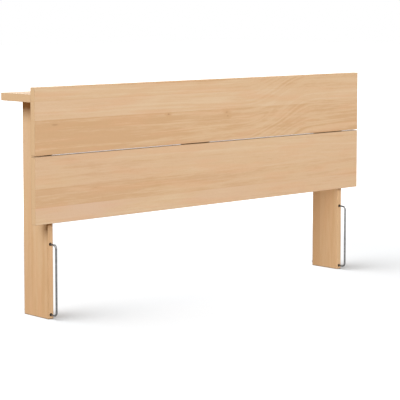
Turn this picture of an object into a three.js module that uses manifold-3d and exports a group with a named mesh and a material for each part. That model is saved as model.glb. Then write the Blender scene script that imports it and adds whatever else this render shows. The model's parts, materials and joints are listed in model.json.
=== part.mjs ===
// Headboard for a double bed: two beech boards one above the other on plank uprights, with a shelf
// behind the upper board. A steel bow on the front edge of each leg holds the bed's end rail.
// Millimetres, +Z up. X runs along the boards, +Y points to the wall and the floor is at Z = 0.
import * as THREE from 'three';
import { ConvexGeometry } from 'three/addons/geometries/ConvexGeometry.js';
import { mergeVertices } from 'three/addons/utils/BufferGeometryUtils.js';
import Module from 'manifold-3d';

// Boards
const BOARD_LENGTH = 1800;
const BOARD_THICKNESS = 26;
const UPPER_BOARD_HEIGHT = 254.7;
const LOWER_BOARD_HEIGHT = 254.7;
const BOARD_GAP = 3.6;
const FLOOR_TO_BOARDS = 367;

// Shelf
const SHELF_DEPTH = 184;
const SHELF_THICKNESS = 30;
const SHELF_BELOW_BOARD_TOP = 27;

// Uprights: the two legs and the support at mid-length
const LEG_THICKNESS = 25;
const LEG_INSET = 75;
const UPRIGHT_DEPTH = 150;
const SUPPORT_THICKNESS = 25;
const SUPPORT_RAISED_FROM_BOARD_EDGE = 30;

// Edges and round holes of the wooden pieces
const EDGE_CHAMFER = 1.5;
const FIT_CLEARANCE = 0.3;
const HOLE_END_SLACK = 1;
const WOOD_BEYOND_BLIND_HOLE = 9;

// Bolts from the back edge of an upright into threaded inserts in the back of a board
const BOLTS_PER_BOARD = 2;
const BOLT_DIAMETER = 6;
const BOLT_HEAD_DIAMETER = 10;
const BOLT_HEAD_HEIGHT = 6;
const BOLT_SOCKET_WIDTH = 5;
const BOLT_SOCKET_DEPTH = 3;
const BOLT_END_CHAMFER = 0.8;
const BOLT_HOLE_DIAMETER = 7;
const COUNTERBORE_DIAMETER = 12;
const COUNTERBORE_DEPTH = 46;
const INSERT_DIAMETER = 10;

// Dowels
const DOWEL_DIAMETER = 8;
const DOWEL_CHAMFER = 0.8;
const DOWEL_DEPTH_IN_UPRIGHT = 20;
const DOWEL_DEPTH_IN_SHELF_EDGE = 24;
const DOWELS_PER_UPRIGHT = 2;
const SHELF_EDGE_DOWELS = 6;

// Bows, with the washer and nut on the threaded end of their lower arm
const ROD_DIAMETER = 8;
const BOW_STANDOFF = 35;
const BOW_BEND_RADIUS = 14;
const BOW_BELOW_BOARDS = 82;
const BOW_HOLE_DIAMETER = 12;
const BOW_UPPER_ARM_IN_LEG = 50;
const BOW_TRAVEL = 15;
const BOW_THREAD_PAST_NUT = 1.9;
const WASHER_DIAMETER = 18;
const WASHER_THICKNESS = 1.6;
const WASHER_ABOVE_FLOOR = 7;
const NUT_WIDTH = 13;
const NUT_HEIGHT = 6.5;
const NUT_CHAMFER = 0.8;

// Facets of round shapes
const ROUND_SIDES = 16;
const FASTENER_SIDES = 12;
const BEND_STEPS = 6;

// Heights
const lowerBoardTop = FLOOR_TO_BOARDS + LOWER_BOARD_HEIGHT;
const upperBoardBottom = lowerBoardTop + BOARD_GAP;
const upperBoardTop = upperBoardBottom + UPPER_BOARD_HEIGHT;
const shelfTop = upperBoardTop - SHELF_BELOW_BOARD_TOP;
const shelfBottom = shelfTop - SHELF_THICKNESS;
const supportBottom = FLOOR_TO_BOARDS + SUPPORT_RAISED_FROM_BOARD_EDGE;
const bowTopHeight = FLOOR_TO_BOARDS - BOW_BELOW_BOARDS;
const bowBottomHeight = WASHER_ABOVE_FLOOR + WASHER_DIAMETER / 2;

// Depths, from the front of the boards
const uprightFront = BOARD_THICKNESS;
const uprightBack = uprightFront + UPRIGHT_DEPTH;
const shelfBack = uprightFront + SHELF_DEPTH;
const counterboreFloor = uprightBack - COUNTERBORE_DEPTH;
const boardHoleEnd = WOOD_BEYOND_BLIND_HOLE;
const insertFront = boardHoleEnd + HOLE_END_SLACK;
const insertBack = BOARD_THICKNESS;
const bowFront = uprightFront - BOW_STANDOFF;
const washerBack = uprightBack + WASHER_THICKNESS;
const nutBack = washerBack + NUT_HEIGHT;
const threadEnd = nutBack + BOW_THREAD_PAST_NUT;
const foremost = Math.min(0, bowFront - ROD_DIAMETER / 2);
const rearmost = Math.max(shelfBack, threadEnd);

// The uprights, from left to right as seen from the bed
const legCentre = BOARD_LENGTH / 2 - LEG_INSET - LEG_THICKNESS / 2;
const uprights = [
  { name: 'left_leg', x: -legCentre, bottom: 0, thickness: LEG_THICKNESS, bow: 'left_bow' },
  { name: 'centre_support', x: 0, bottom: supportBottom, thickness: SUPPORT_THICKNESS },
  { name: 'right_leg', x: legCentre, bottom: 0, thickness: LEG_THICKNESS, bow: 'right_bow' },
];

const beech = { color: 0xd9b68f, roughness: 0.55, metalness: 0 };
const dowelWood = { color: 0xcfae7e, roughness: 0.7, metalness: 0 };
const steelRod = { color: 0x9a9a98, roughness: 0.35, metalness: 1 };
const zincSteel = { color: 0xb4b6b8, roughness: 0.4, metalness: 1 };
const brass = { color: 0xb8975a, roughness: 0.4, metalness: 1 };

const wasm = await Module();
wasm.setup();

// Turns a closed geometry into a solid for cutting and joining.
function toSolid(geometry) {
  const bare = geometry.clone();
  bare.deleteAttribute('normal');
  bare.deleteAttribute('uv');
  const merged = mergeVertices(bare);
  const mesh = new wasm.Mesh({
    numProp: 3,
    vertProperties: new Float32Array(merged.attributes.position.array),
    triVerts: new Uint32Array(merged.index.array),
  });
  return new wasm.Manifold(mesh);
}

// Turns a solid back into a geometry with flat facets.
function toGeometry(solid) {
  const { vertProperties, triVerts } = solid.getMesh();
  const geometry = new THREE.BufferGeometry();
  geometry.setAttribute('position', new THREE.BufferAttribute(vertProperties, 3));
  geometry.setIndex(new THREE.BufferAttribute(triVerts, 1));
  const facets = geometry.toNonIndexed();
  facets.computeVertexNormals();
  return facets;
}

// Cuts each of the given geometries out of a body.
function cut(body, holes) {
  const solid = holes.reduce((rest, hole) => rest.subtract(toSolid(hole)), toSolid(body));
  return toGeometry(solid);
}

// A plank between two opposite corners, with every edge chamfered.
function plank(low, high, chamfer) {
  const points = [];
  for (const [x, insideX] of [[low.x, 1], [high.x, -1]]) {
    for (const [y, insideY] of [[low.y, 1], [high.y, -1]]) {
      for (const [z, insideZ] of [[low.z, 1], [high.z, -1]]) {
        const dx = insideX * chamfer;
        const dy = insideY * chamfer;
        const dz = insideZ * chamfer;
        points.push(new THREE.Vector3(x, y + dy, z + dz));
        points.push(new THREE.Vector3(x + dx, y, z + dz));
        points.push(new THREE.Vector3(x + dx, y + dy, z));
      }
    }
  }
  return new ConvexGeometry(points);
}

// A round bar or hole along Y.
function barAlongY(x, z, yStart, yEnd, diameter, sides = ROUND_SIDES) {
  const bar = new THREE.CylinderGeometry(diameter / 2, diameter / 2, yEnd - yStart, sides);
  bar.translate(x, (yStart + yEnd) / 2, z);
  return bar;
}

// A round bar or hole along Z.
function barAlongZ(x, y, zStart, zEnd, diameter, sides = ROUND_SIDES) {
  const bar = new THREE.CylinderGeometry(diameter / 2, diameter / 2, zEnd - zStart, sides);
  bar.rotateX(Math.PI / 2);
  bar.translate(x, y, (zStart + zEnd) / 2);
  return bar;
}

// The middles of equal shares of a stretch, where the fasteners along it go.
function evenlySpread(start, end, count) {
  const share = (end - start) / count;
  return Array.from({ length: count }, (_, i) => start + share * (i + 0.5));
}

// Heights of the bolts that hold one board to an upright.
function boltHeightsOn(boardBottom, boardTop, upright) {
  const start = Math.max(boardBottom, upright.bottom);
  const end = Math.min(boardTop, shelfBottom);
  return evenlySpread(start, end, BOLTS_PER_BOARD);
}

// Heights of all the bolts of an upright, from the floor up.
function boltHeights(upright) {
  const lower = boltHeightsOn(FLOOR_TO_BOARDS, lowerBoardTop, upright);
  const upper = boltHeightsOn(upperBoardBottom, upperBoardTop, upright);
  return [...lower, ...upper];
}

const uprightDowelDepths = evenlySpread(
  uprightFront, Math.min(uprightBack, shelfBack), DOWELS_PER_UPRIGHT);
const shelfEdgeDowelPlaces = evenlySpread(
  -BOARD_LENGTH / 2, BOARD_LENGTH / 2, SHELF_EDGE_DOWELS);
const shelfEdgeDowelHeight = (shelfTop + shelfBottom) / 2;
const dowelHole = DOWEL_DIAMETER + 2 * FIT_CLEARANCE;
const insertHole = INSERT_DIAMETER + 2 * FIT_CLEARANCE;
const uprightDowelBottom = shelfBottom - DOWEL_DEPTH_IN_UPRIGHT;
const uprightDowelTop = shelfTop - WOOD_BEYOND_BLIND_HOLE - HOLE_END_SLACK;
const shelfEdgeDowelBack = uprightFront + DOWEL_DEPTH_IN_SHELF_EDGE;

// The blind holes in the back of a board for the inserts where one upright meets it.
function insertHolesFor(upright, bottom, top) {
  const mouth = insertBack + FIT_CLEARANCE;
  return boltHeightsOn(bottom, top, upright).map(
    (z) => barAlongY(upright.x, z, boardHoleEnd, mouth, insertHole, FASTENER_SIDES));
}

// One board, with the blind holes in its back for the inserts of every upright it meets.
function boardGeometry(bottom, top, moreHoles) {
  const low = new THREE.Vector3(-BOARD_LENGTH / 2, 0, bottom);
  const high = new THREE.Vector3(BOARD_LENGTH / 2, BOARD_THICKNESS, top);
  const insertHoles = uprights.flatMap((upright) => insertHolesFor(upright, bottom, top));
  return cut(plank(low, high, EDGE_CHAMFER), [...insertHoles, ...moreHoles]);
}

// The holes along the joint of shelf and upper board, one half in each.
function shelfEdgeHoles() {
  const holeEnd = shelfEdgeDowelBack + HOLE_END_SLACK;
  return shelfEdgeDowelPlaces.map(
    (x) => barAlongY(x, shelfEdgeDowelHeight, boardHoleEnd, holeEnd, dowelHole, FASTENER_SIDES));
}

// The holes for the dowels of an upright at the given X, half in the upright and half in the shelf.
function uprightDowelHoles(x) {
  const low = uprightDowelBottom - HOLE_END_SLACK;
  const high = shelfTop - WOOD_BEYOND_BLIND_HOLE;
  return uprightDowelDepths.map((y) => barAlongZ(x, y, low, high, dowelHole, FASTENER_SIDES));
}

function shelfGeometry() {
  const low = new THREE.Vector3(-BOARD_LENGTH / 2, uprightFront, shelfBottom);
  const high = new THREE.Vector3(BOARD_LENGTH / 2, shelfBack, shelfTop);
  const fromBelow = uprights.flatMap((upright) => uprightDowelHoles(upright.x));
  return cut(plank(low, high, EDGE_CHAMFER), [...shelfEdgeHoles(), ...fromBelow]);
}

// The stepped holes through the depth of an upright for its bolts.
function boltHoles(upright) {
  const start = uprightFront - FIT_CLEARANCE;
  return boltHeights(upright).flatMap((z) => [
    barAlongY(0, z, start, uprightBack, BOLT_HOLE_DIAMETER, FASTENER_SIDES),
    barAlongY(0, z, counterboreFloor, uprightBack + FIT_CLEARANCE, COUNTERBORE_DIAMETER),
  ]);
}

// The bow's holes in a leg: a blind one above and one right through below.
function bowHoles() {
  const blindEnd = uprightFront + BOW_UPPER_ARM_IN_LEG + BOW_TRAVEL + HOLE_END_SLACK;
  const start = uprightFront - FIT_CLEARANCE;
  return [
    barAlongY(0, bowTopHeight, start, blindEnd, BOW_HOLE_DIAMETER),
    barAlongY(0, bowBottomHeight, start, uprightBack + FIT_CLEARANCE, BOW_HOLE_DIAMETER),
  ];
}

// A leg or the centre support, standing at X = 0.
function uprightGeometry(upright) {
  const low = new THREE.Vector3(-upright.thickness / 2, uprightFront, upright.bottom);
  const high = new THREE.Vector3(upright.thickness / 2, uprightBack, shelfBottom);
  const holes = [...boltHoles(upright), ...uprightDowelHoles(0)];
  if (upright.bow) {
    holes.push(...bowHoles());
  }
  return cut(plank(low, high, EDGE_CHAMFER), holes);
}

// A cap screw with a hexagon socket, its head in the counterbore and its tip in the insert.
function boltGeometry(z) {
  const radius = BOLT_DIAMETER / 2;
  const headRadius = BOLT_HEAD_DIAMETER / 2;
  const headTop = counterboreFloor + BOLT_HEAD_HEIGHT;
  const profile = [
    [0, insertFront],
    [radius - BOLT_END_CHAMFER, insertFront],
    [radius, insertFront + BOLT_END_CHAMFER],
    [radius, counterboreFloor],
    [headRadius, counterboreFloor],
    [headRadius, headTop - BOLT_END_CHAMFER],
    [headRadius - BOLT_END_CHAMFER, headTop],
    [0, headTop],
  ].map(([r, y]) => new THREE.Vector2(r, y));
  const body = new THREE.LatheGeometry(profile, FASTENER_SIDES);
  body.translate(0, 0, z);
  const cornerWidth = BOLT_SOCKET_WIDTH / Math.cos(Math.PI / 6);
  const socketEnd = headTop + FIT_CLEARANCE;
  return cut(body, [barAlongY(0, z, headTop - BOLT_SOCKET_DEPTH, socketEnd, cornerWidth, 6)]);
}

// The threaded insert that takes a bolt, flush with the back of the board.
function insertGeometry(z) {
  const bore = BOLT_DIAMETER + 2 * FIT_CLEARANCE;
  const shell = barAlongY(0, z, insertFront, insertBack, INSERT_DIAMETER, FASTENER_SIDES);
  return cut(shell, [barAlongY(0, z, 0, uprightBack, bore, FASTENER_SIDES)]);
}

// A dowel of a given length along Y, from Y = 0, with chamfered ends.
function dowelGeometry(length) {
  const radius = DOWEL_DIAMETER / 2;
  const profile = [
    [0, 0],
    [radius - DOWEL_CHAMFER, 0],
    [radius, DOWEL_CHAMFER],
    [radius, length - DOWEL_CHAMFER],
    [radius - DOWEL_CHAMFER, length],
    [0, length],
  ].map(([r, y]) => new THREE.Vector2(r, y));
  return new THREE.LatheGeometry(profile, FASTENER_SIDES);
}

function uprightDowelGeometry(y) {
  const dowel = dowelGeometry(uprightDowelTop - uprightDowelBottom);
  dowel.rotateX(Math.PI / 2);
  dowel.translate(0, y, uprightDowelBottom);
  return dowel;
}

function shelfEdgeDowelGeometry(x) {
  const dowel = dowelGeometry(shelfEdgeDowelBack - insertFront);
  dowel.translate(x, insertFront, shelfEdgeDowelHeight);
  return dowel;
}

// The centre line of a bow, sampled at its corners only: three straights and two bends.
class BowLine extends THREE.Curve {
  constructor(points) {
    super();
    this.points = points;
  }

  getPoint(t, target = new THREE.Vector3()) {
    const place = t * (this.points.length - 1);
    const index = Math.min(Math.floor(place), this.points.length - 2);
    return target.lerpVectors(this.points[index], this.points[index + 1], place - index);
  }

  getUtoTmapping(u) {
    return u;
  }
}

// Points of a quarter bend from one direction to another, about its centre.
function bendPoints(centreY, centreZ, startAngle) {
  return Array.from({ length: BEND_STEPS + 1 }, (_, i) => {
    const angle = startAngle + (Math.PI / 2) * (i / BEND_STEPS);
    const y = centreY + BOW_BEND_RADIUS * Math.cos(angle);
    const z = centreZ + BOW_BEND_RADIUS * Math.sin(angle);
    return new THREE.Vector3(0, y, z);
  });
}

// A bow: a round rod bent to a U, with its bar upright in front of the leg.
function bowGeometry() {
  const bendCentre = bowFront + BOW_BEND_RADIUS;
  const line = new BowLine([
    new THREE.Vector3(0, uprightFront + BOW_UPPER_ARM_IN_LEG, bowTopHeight),
    ...bendPoints(bendCentre, bowTopHeight - BOW_BEND_RADIUS, Math.PI / 2),
    ...bendPoints(bendCentre, bowBottomHeight + BOW_BEND_RADIUS, Math.PI),
    new THREE.Vector3(0, threadEnd, bowBottomHeight),
  ]);
  const section = new THREE.Shape();
  section.absarc(0, 0, ROD_DIAMETER / 2, 0, 2 * Math.PI);
  const rod = new THREE.ExtrudeGeometry(section, {
    steps: line.points.length - 1,
    curveSegments: FASTENER_SIDES / 2,
    extrudePath: line,
    bevelEnabled: false,
  });
  return toGeometry(toSolid(rod));
}

// A round washer on the back edge of the leg.
function washerGeometry() {
  const disc = barAlongY(0, bowBottomHeight, uprightBack, washerBack, WASHER_DIAMETER);
  const bore = ROD_DIAMETER + 2 * FIT_CLEARANCE;
  return cut(disc, [barAlongY(0, bowBottomHeight, 0, threadEnd, bore)]);
}

// A hexagon nut against the washer, with the corners turned off at both ends.
function nutGeometry() {
  const cornerWidth = NUT_WIDTH / Math.cos(Math.PI / 6);
  const bore = ROD_DIAMETER + 2 * FIT_CLEARANCE;
  const prism = barAlongY(0, bowBottomHeight, washerBack, nutBack, cornerWidth, 6);
  const radius = cornerWidth / 2;
  const profile = [
    [0, washerBack],
    [radius - NUT_CHAMFER, washerBack],
    [radius, washerBack + NUT_CHAMFER],
    [radius, nutBack - NUT_CHAMFER],
    [radius - NUT_CHAMFER, nutBack],
    [0, nutBack],
  ].map(([r, y]) => new THREE.Vector2(r, y));
  const turned = new THREE.LatheGeometry(profile, ROUND_SIDES);
  turned.translate(0, 0, bowBottomHeight);
  const nut = toSolid(prism).intersect(toSolid(turned));
  return toGeometry(nut.subtract(toSolid(barAlongY(0, bowBottomHeight, 0, threadEnd, bore))));
}

function piece(name, geometry, finish) {
  const mesh = new THREE.Mesh(geometry, new THREE.MeshStandardMaterial(finish));
  mesh.name = name;
  return mesh;
}

// The boards, the shelf and the dowels along the shelf's front edge.
function panelPieces() {
  const group = new THREE.Group();
  group.add(piece('lower_board', boardGeometry(FLOOR_TO_BOARDS, lowerBoardTop, []), beech));
  const upper = boardGeometry(upperBoardBottom, upperBoardTop, shelfEdgeHoles());
  group.add(piece('upper_board', upper, beech));
  group.add(piece('shelf', shelfGeometry(), beech));
  shelfEdgeDowelPlaces.forEach((x, i) => {
    group.add(piece(`shelf_edge_dowel_${i + 1}`, shelfEdgeDowelGeometry(x), dowelWood));
  });
  return group;
}

// One upright with its bolts, inserts and dowels, moved to its place along the boards.
function uprightPieces(upright) {
  const group = new THREE.Group();
  group.position.x = upright.x;
  group.add(piece(upright.name, uprightGeometry(upright), beech));
  boltHeights(upright).forEach((z, i) => {
    group.add(piece(`${upright.name}_bolt_${i + 1}`, boltGeometry(z), zincSteel));
    group.add(piece(`${upright.name}_insert_${i + 1}`, insertGeometry(z), brass));
  });
  uprightDowelDepths.forEach((y, i) => {
    group.add(piece(`${upright.name}_dowel_${i + 1}`, uprightDowelGeometry(y), dowelWood));
  });
  return group;
}

// The bow of a leg with its washer and nut, moved to its place along the boards.
function bowPieces(leg) {
  const group = new THREE.Group();
  group.position.x = leg.x;
  group.add(piece(leg.bow, bowGeometry(), steelRod));
  group.add(piece(`${leg.bow}_washer`, washerGeometry(), zincSteel));
  group.add(piece(`${leg.bow}_nut`, nutGeometry(), zincSteel));
  return group;
}

// The origin is on the floor, under the middle of the whole headboard.
const headboard = new THREE.Group();
headboard.position.y = -(foremost + rearmost) / 2;
headboard.add(panelPieces());
uprights.forEach((upright) => headboard.add(uprightPieces(upright)));
uprights.filter((upright) => upright.bow).forEach((leg) => headboard.add(bowPieces(leg)));

export default headboard;
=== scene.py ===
import json
import logging
import math
from collections.abc import Callable, Iterable, Sequence
from dataclasses import dataclass, field, replace
from enum import Enum
from functools import cache

import bmesh
import bpy
from mathutils import Matrix, Vector

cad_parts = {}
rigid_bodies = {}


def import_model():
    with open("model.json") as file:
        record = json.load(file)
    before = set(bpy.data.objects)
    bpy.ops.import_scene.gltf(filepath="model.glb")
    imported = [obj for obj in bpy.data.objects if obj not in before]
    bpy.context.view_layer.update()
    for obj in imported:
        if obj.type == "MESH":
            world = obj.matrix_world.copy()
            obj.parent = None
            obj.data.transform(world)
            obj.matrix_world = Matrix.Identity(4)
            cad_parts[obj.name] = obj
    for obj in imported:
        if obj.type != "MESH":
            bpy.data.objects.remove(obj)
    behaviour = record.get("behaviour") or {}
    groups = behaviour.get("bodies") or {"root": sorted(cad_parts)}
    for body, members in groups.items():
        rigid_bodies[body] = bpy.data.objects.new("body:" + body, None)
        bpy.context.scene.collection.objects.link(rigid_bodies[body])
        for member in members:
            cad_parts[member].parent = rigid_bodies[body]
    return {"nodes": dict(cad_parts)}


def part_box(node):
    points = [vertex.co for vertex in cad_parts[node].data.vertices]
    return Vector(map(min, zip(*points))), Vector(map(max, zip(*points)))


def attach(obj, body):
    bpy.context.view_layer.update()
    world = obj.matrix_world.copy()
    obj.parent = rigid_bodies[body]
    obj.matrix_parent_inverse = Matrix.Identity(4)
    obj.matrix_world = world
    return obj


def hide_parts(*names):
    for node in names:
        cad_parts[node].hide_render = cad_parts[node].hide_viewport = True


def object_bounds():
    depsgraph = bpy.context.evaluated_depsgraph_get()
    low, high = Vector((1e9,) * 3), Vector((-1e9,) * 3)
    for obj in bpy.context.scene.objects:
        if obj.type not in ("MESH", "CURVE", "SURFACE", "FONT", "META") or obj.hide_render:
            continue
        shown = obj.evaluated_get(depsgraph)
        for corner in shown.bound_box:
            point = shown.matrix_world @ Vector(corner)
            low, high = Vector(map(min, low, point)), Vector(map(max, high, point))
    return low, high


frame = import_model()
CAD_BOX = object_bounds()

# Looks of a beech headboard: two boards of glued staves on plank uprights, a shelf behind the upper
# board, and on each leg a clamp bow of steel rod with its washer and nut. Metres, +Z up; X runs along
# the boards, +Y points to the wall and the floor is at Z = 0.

LOG = logging.getLogger("headboard")
HEADBOARD_BODY = "headboard"

MM = 0.001
X_AXIS = Vector((1.0, 0.0, 0.0))
Y_AXIS = Vector((0.0, 1.0, 0.0))
Z_AXIS = Vector((0.0, 0.0, 1.0))

NodeFeed = bpy.types.NodeSocket | float | Sequence[float]
Box = tuple[Vector, Vector]
Colour = tuple[float, float, float, float]
Scale = tuple[float, float, float]
Span = tuple[float, float]

WHITE: Colour = (1.0, 1.0, 1.0, 1.0)
TURNED_WELD = 1e-7
JOINED_WELD = 1e-6
SAME_PLACE = 1e-6
QUARTER_TURN = math.pi / 2
TWELFTH_TURN = math.pi / 6


def paint(red: int, green: int, blue: int) -> Colour:
    """Turns a colour as it looks on a screen into the linear colour that a shader takes.

    Args:
        red: red from 0 to 255.
        green: green from 0 to 255.
        blue: blue from 0 to 255.

    Returns:
        The linear red, green, blue and an alpha of 1.
    """
    shares = [channel / 255 for channel in (red, green, blue)]
    linear = [s / 12.92 if s <= 0.04045 else ((s + 0.055) / 1.055) ** 2.4 for s in shares]
    return (linear[0], linear[1], linear[2], 1.0)


# Meshes


def link_mesh(name: str, mesh: bpy.types.Mesh) -> bpy.types.Object:
    """Puts a mesh into the scene as an object at the origin.

    Args:
        name: name of the object.
        mesh: its mesh, already in place.

    Returns:
        The new object.
    """
    mesh.name = name
    thing = bpy.data.objects.new(name, mesh)
    bpy.context.scene.collection.objects.link(thing)
    return thing


def to_object(name: str, shape: bmesh.types.BMesh) -> bpy.types.Object:
    """Turns a finished bmesh into an object and frees it.

    Args:
        name: name of the object.
        shape: the bmesh, in place.

    Returns:
        The new object.
    """
    mesh = bpy.data.meshes.new(name)
    shape.to_mesh(mesh)
    shape.free()
    return link_mesh(name, mesh)


def turned(
    profile: Sequence[Span],
    start: Vector,
    axis: Vector,
    sides: int,
    ring: bool = False,
) -> bmesh.types.BMesh:
    """Turns a profile round an axis, as on a lathe.

    Args:
        profile: points of radius and distance along the axis, in order.
        start: the point on the axis that distances are measured from.
        axis: direction of the axis, of unit length.
        sides: number of steps round the axis.
        ring: True if the profile's last point joins its first, as on a washer.

    Returns:
        A closed bmesh whose faces point outwards.
    """
    shape = bmesh.new()
    sideways = axis.orthogonal().normalized()
    corners = [shape.verts.new(start + axis * along + sideways * radius) for radius, along in profile]
    lines = [shape.edges.new(pair) for pair in zip(corners, corners[1:])]
    if ring:
        lines.append(shape.edges.new((corners[-1], corners[0])))
    bmesh.ops.spin(
        shape, geom=corners + lines, cent=start, axis=axis, angle=math.tau, steps=sides, use_merge=True
    )
    bmesh.ops.remove_doubles(shape, verts=shape.verts[:], dist=TURNED_WELD)
    bmesh.ops.recalc_face_normals(shape, faces=shape.faces[:])
    return shape


def joined(shapes: Iterable[bmesh.types.BMesh]) -> bmesh.types.BMesh:
    """Puts several bmeshes into one and frees them.

    Args:
        shapes: the bmeshes.

    Returns:
        One bmesh with all of them as separate shells.
    """
    whole = bmesh.new()
    for shape in shapes:
        part = bpy.data.meshes.new("part")
        shape.to_mesh(part)
        shape.free()
        whole.from_mesh(part)
        bpy.data.meshes.remove(part)
    return whole


class Join(Enum):
    """How one solid is worked into another."""

    CUT = "DIFFERENCE"
    ADD = "UNION"
    KEEP_COMMON = "INTERSECT"


def combine(
    name: str, body: bmesh.types.BMesh, tool: bmesh.types.BMesh, join: Join
) -> bmesh.types.BMesh:
    """Cuts, joins or intersects two closed bmeshes and frees both.

    Args:
        name: name used for the meshes on the way.
        body: the solid that is worked on.
        tool: the solid that cuts it or is added to it.
        join: what is done.

    Returns:
        The resulting bmesh, its doubles merged.
    """
    worked = to_object(name, body)
    cutter = to_object(f"{name}_tool", tool)
    step = worked.modifiers.new(join.name, "BOOLEAN")
    step.operation = join.value
    step.solver = "EXACT"
    step.object = cutter
    bpy.context.view_layer.update()
    evaluated = worked.evaluated_get(bpy.context.evaluated_depsgraph_get())
    result = bmesh.new()
    result.from_mesh(evaluated.to_mesh())
    evaluated.to_mesh_clear()
    for used in (worked, cutter):
        mesh = used.data
        bpy.data.objects.remove(used)
        bpy.data.meshes.remove(mesh)
    bmesh.ops.remove_doubles(result, verts=result.verts[:], dist=JOINED_WELD)
    return result


def smooth_between(thing: bpy.types.Object, sharp_degrees: float) -> None:
    """Shades an object smooth but keeps its flat faces flat and its sharp edges sharp.

    Args:
        thing: the mesh object.
        sharp_degrees: edges between faces that meet at more than this angle stay sharp.
    """
    mesh = thing.data
    mesh.polygons.foreach_set("use_smooth", [True] * len(mesh.polygons))
    mesh.set_sharp_from_angle(angle=math.radians(sharp_degrees))
    weighted = thing.modifiers.new("flat faces stay flat", "WEIGHTED_NORMAL")
    weighted.keep_sharp = True
    weighted.weight = 100


def dressed(
    name: str, shape: bmesh.types.BMesh, sharp_degrees: float, material: bpy.types.Material
) -> bpy.types.Object:
    """Turns a finished bmesh into an object that is shaded smooth and has its material.

    Args:
        name: name of the object.
        shape: the bmesh, in place.
        sharp_degrees: edges between faces that meet at more than this angle stay sharp.
        material: its material.

    Returns:
        The new object.
    """
    thing = to_object(name, shape)
    smooth_between(thing, sharp_degrees)
    thing.data.materials.append(material)
    return thing


def lying_along_y(place: Vector) -> Matrix:
    """Returns the matrix that lays a shape made along Z along Y, with its middle at a place."""
    return Matrix.Translation(place) @ Matrix.Rotation(-QUARTER_TURN, 4, "X")


def settle(thing: bpy.types.Object, body: str, nodes: Sequence[str]) -> None:
    """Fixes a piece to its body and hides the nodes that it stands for.

    Args:
        thing: the finished piece.
        body: the body that it moves with.
        nodes: the nodes that it replaces.
    """
    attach(thing, body)
    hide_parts(*nodes)
    LOG.info("%s on %s: %d faces", thing.name, body, len(thing.data.polygons))


@cache
def box_of(node: str) -> Box:
    """Returns a node's lowest and highest corner."""
    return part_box(node)


def middle(box: Box) -> Vector:
    """Returns the middle of a box."""
    return (box[0] + box[1]) / 2


def boxes_of(kind: str) -> dict[str, Box]:
    """Finds the nodes of one kind of fitting.

    Args:
        kind: the word in their names, such as insert.

    Returns:
        Their boxes by name.
    """
    return {name: box_of(name) for name in sorted(frame["nodes"]) if f"_{kind}_" in name}


@dataclass(frozen=True)
class Bore:
    """A drilled hole with an eased mouth, and a wider first stretch where it has one."""

    mouth: Vector
    inwards: Vector
    depth: float
    diameter: float
    easing: float
    counterbore: float = 0.0
    counterbore_depth: float = 0.0
    through: bool = False
    sides: int = 32
    overshoot: float = 1.0 * MM

    def cutter(self) -> bmesh.types.BMesh:
        """Makes the solid that cuts the hole.

        Returns:
            A turned bmesh that reaches a little out of the wood at each open end.
        """
        radius = self.diameter / 2
        mouth_radius = self.counterbore / 2 if self.counterbore else radius
        flare = self.easing + self.overshoot
        profile = [(0.0, -self.overshoot), (mouth_radius + flare, -self.overshoot)]
        profile.append((mouth_radius, self.easing))
        if self.counterbore:
            profile.append((mouth_radius, self.counterbore_depth))
            profile.append((radius, self.counterbore_depth))
        if self.through:
            profile.append((radius, self.depth - self.easing))
            profile.append((radius + flare, self.depth + self.overshoot))
            profile.append((0.0, self.depth + self.overshoot))
        else:
            profile.append((radius, self.depth))
            profile.append((0.0, self.depth))
        return turned(profile, self.mouth, self.inwards, self.sides)


# Shader nodes


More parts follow.
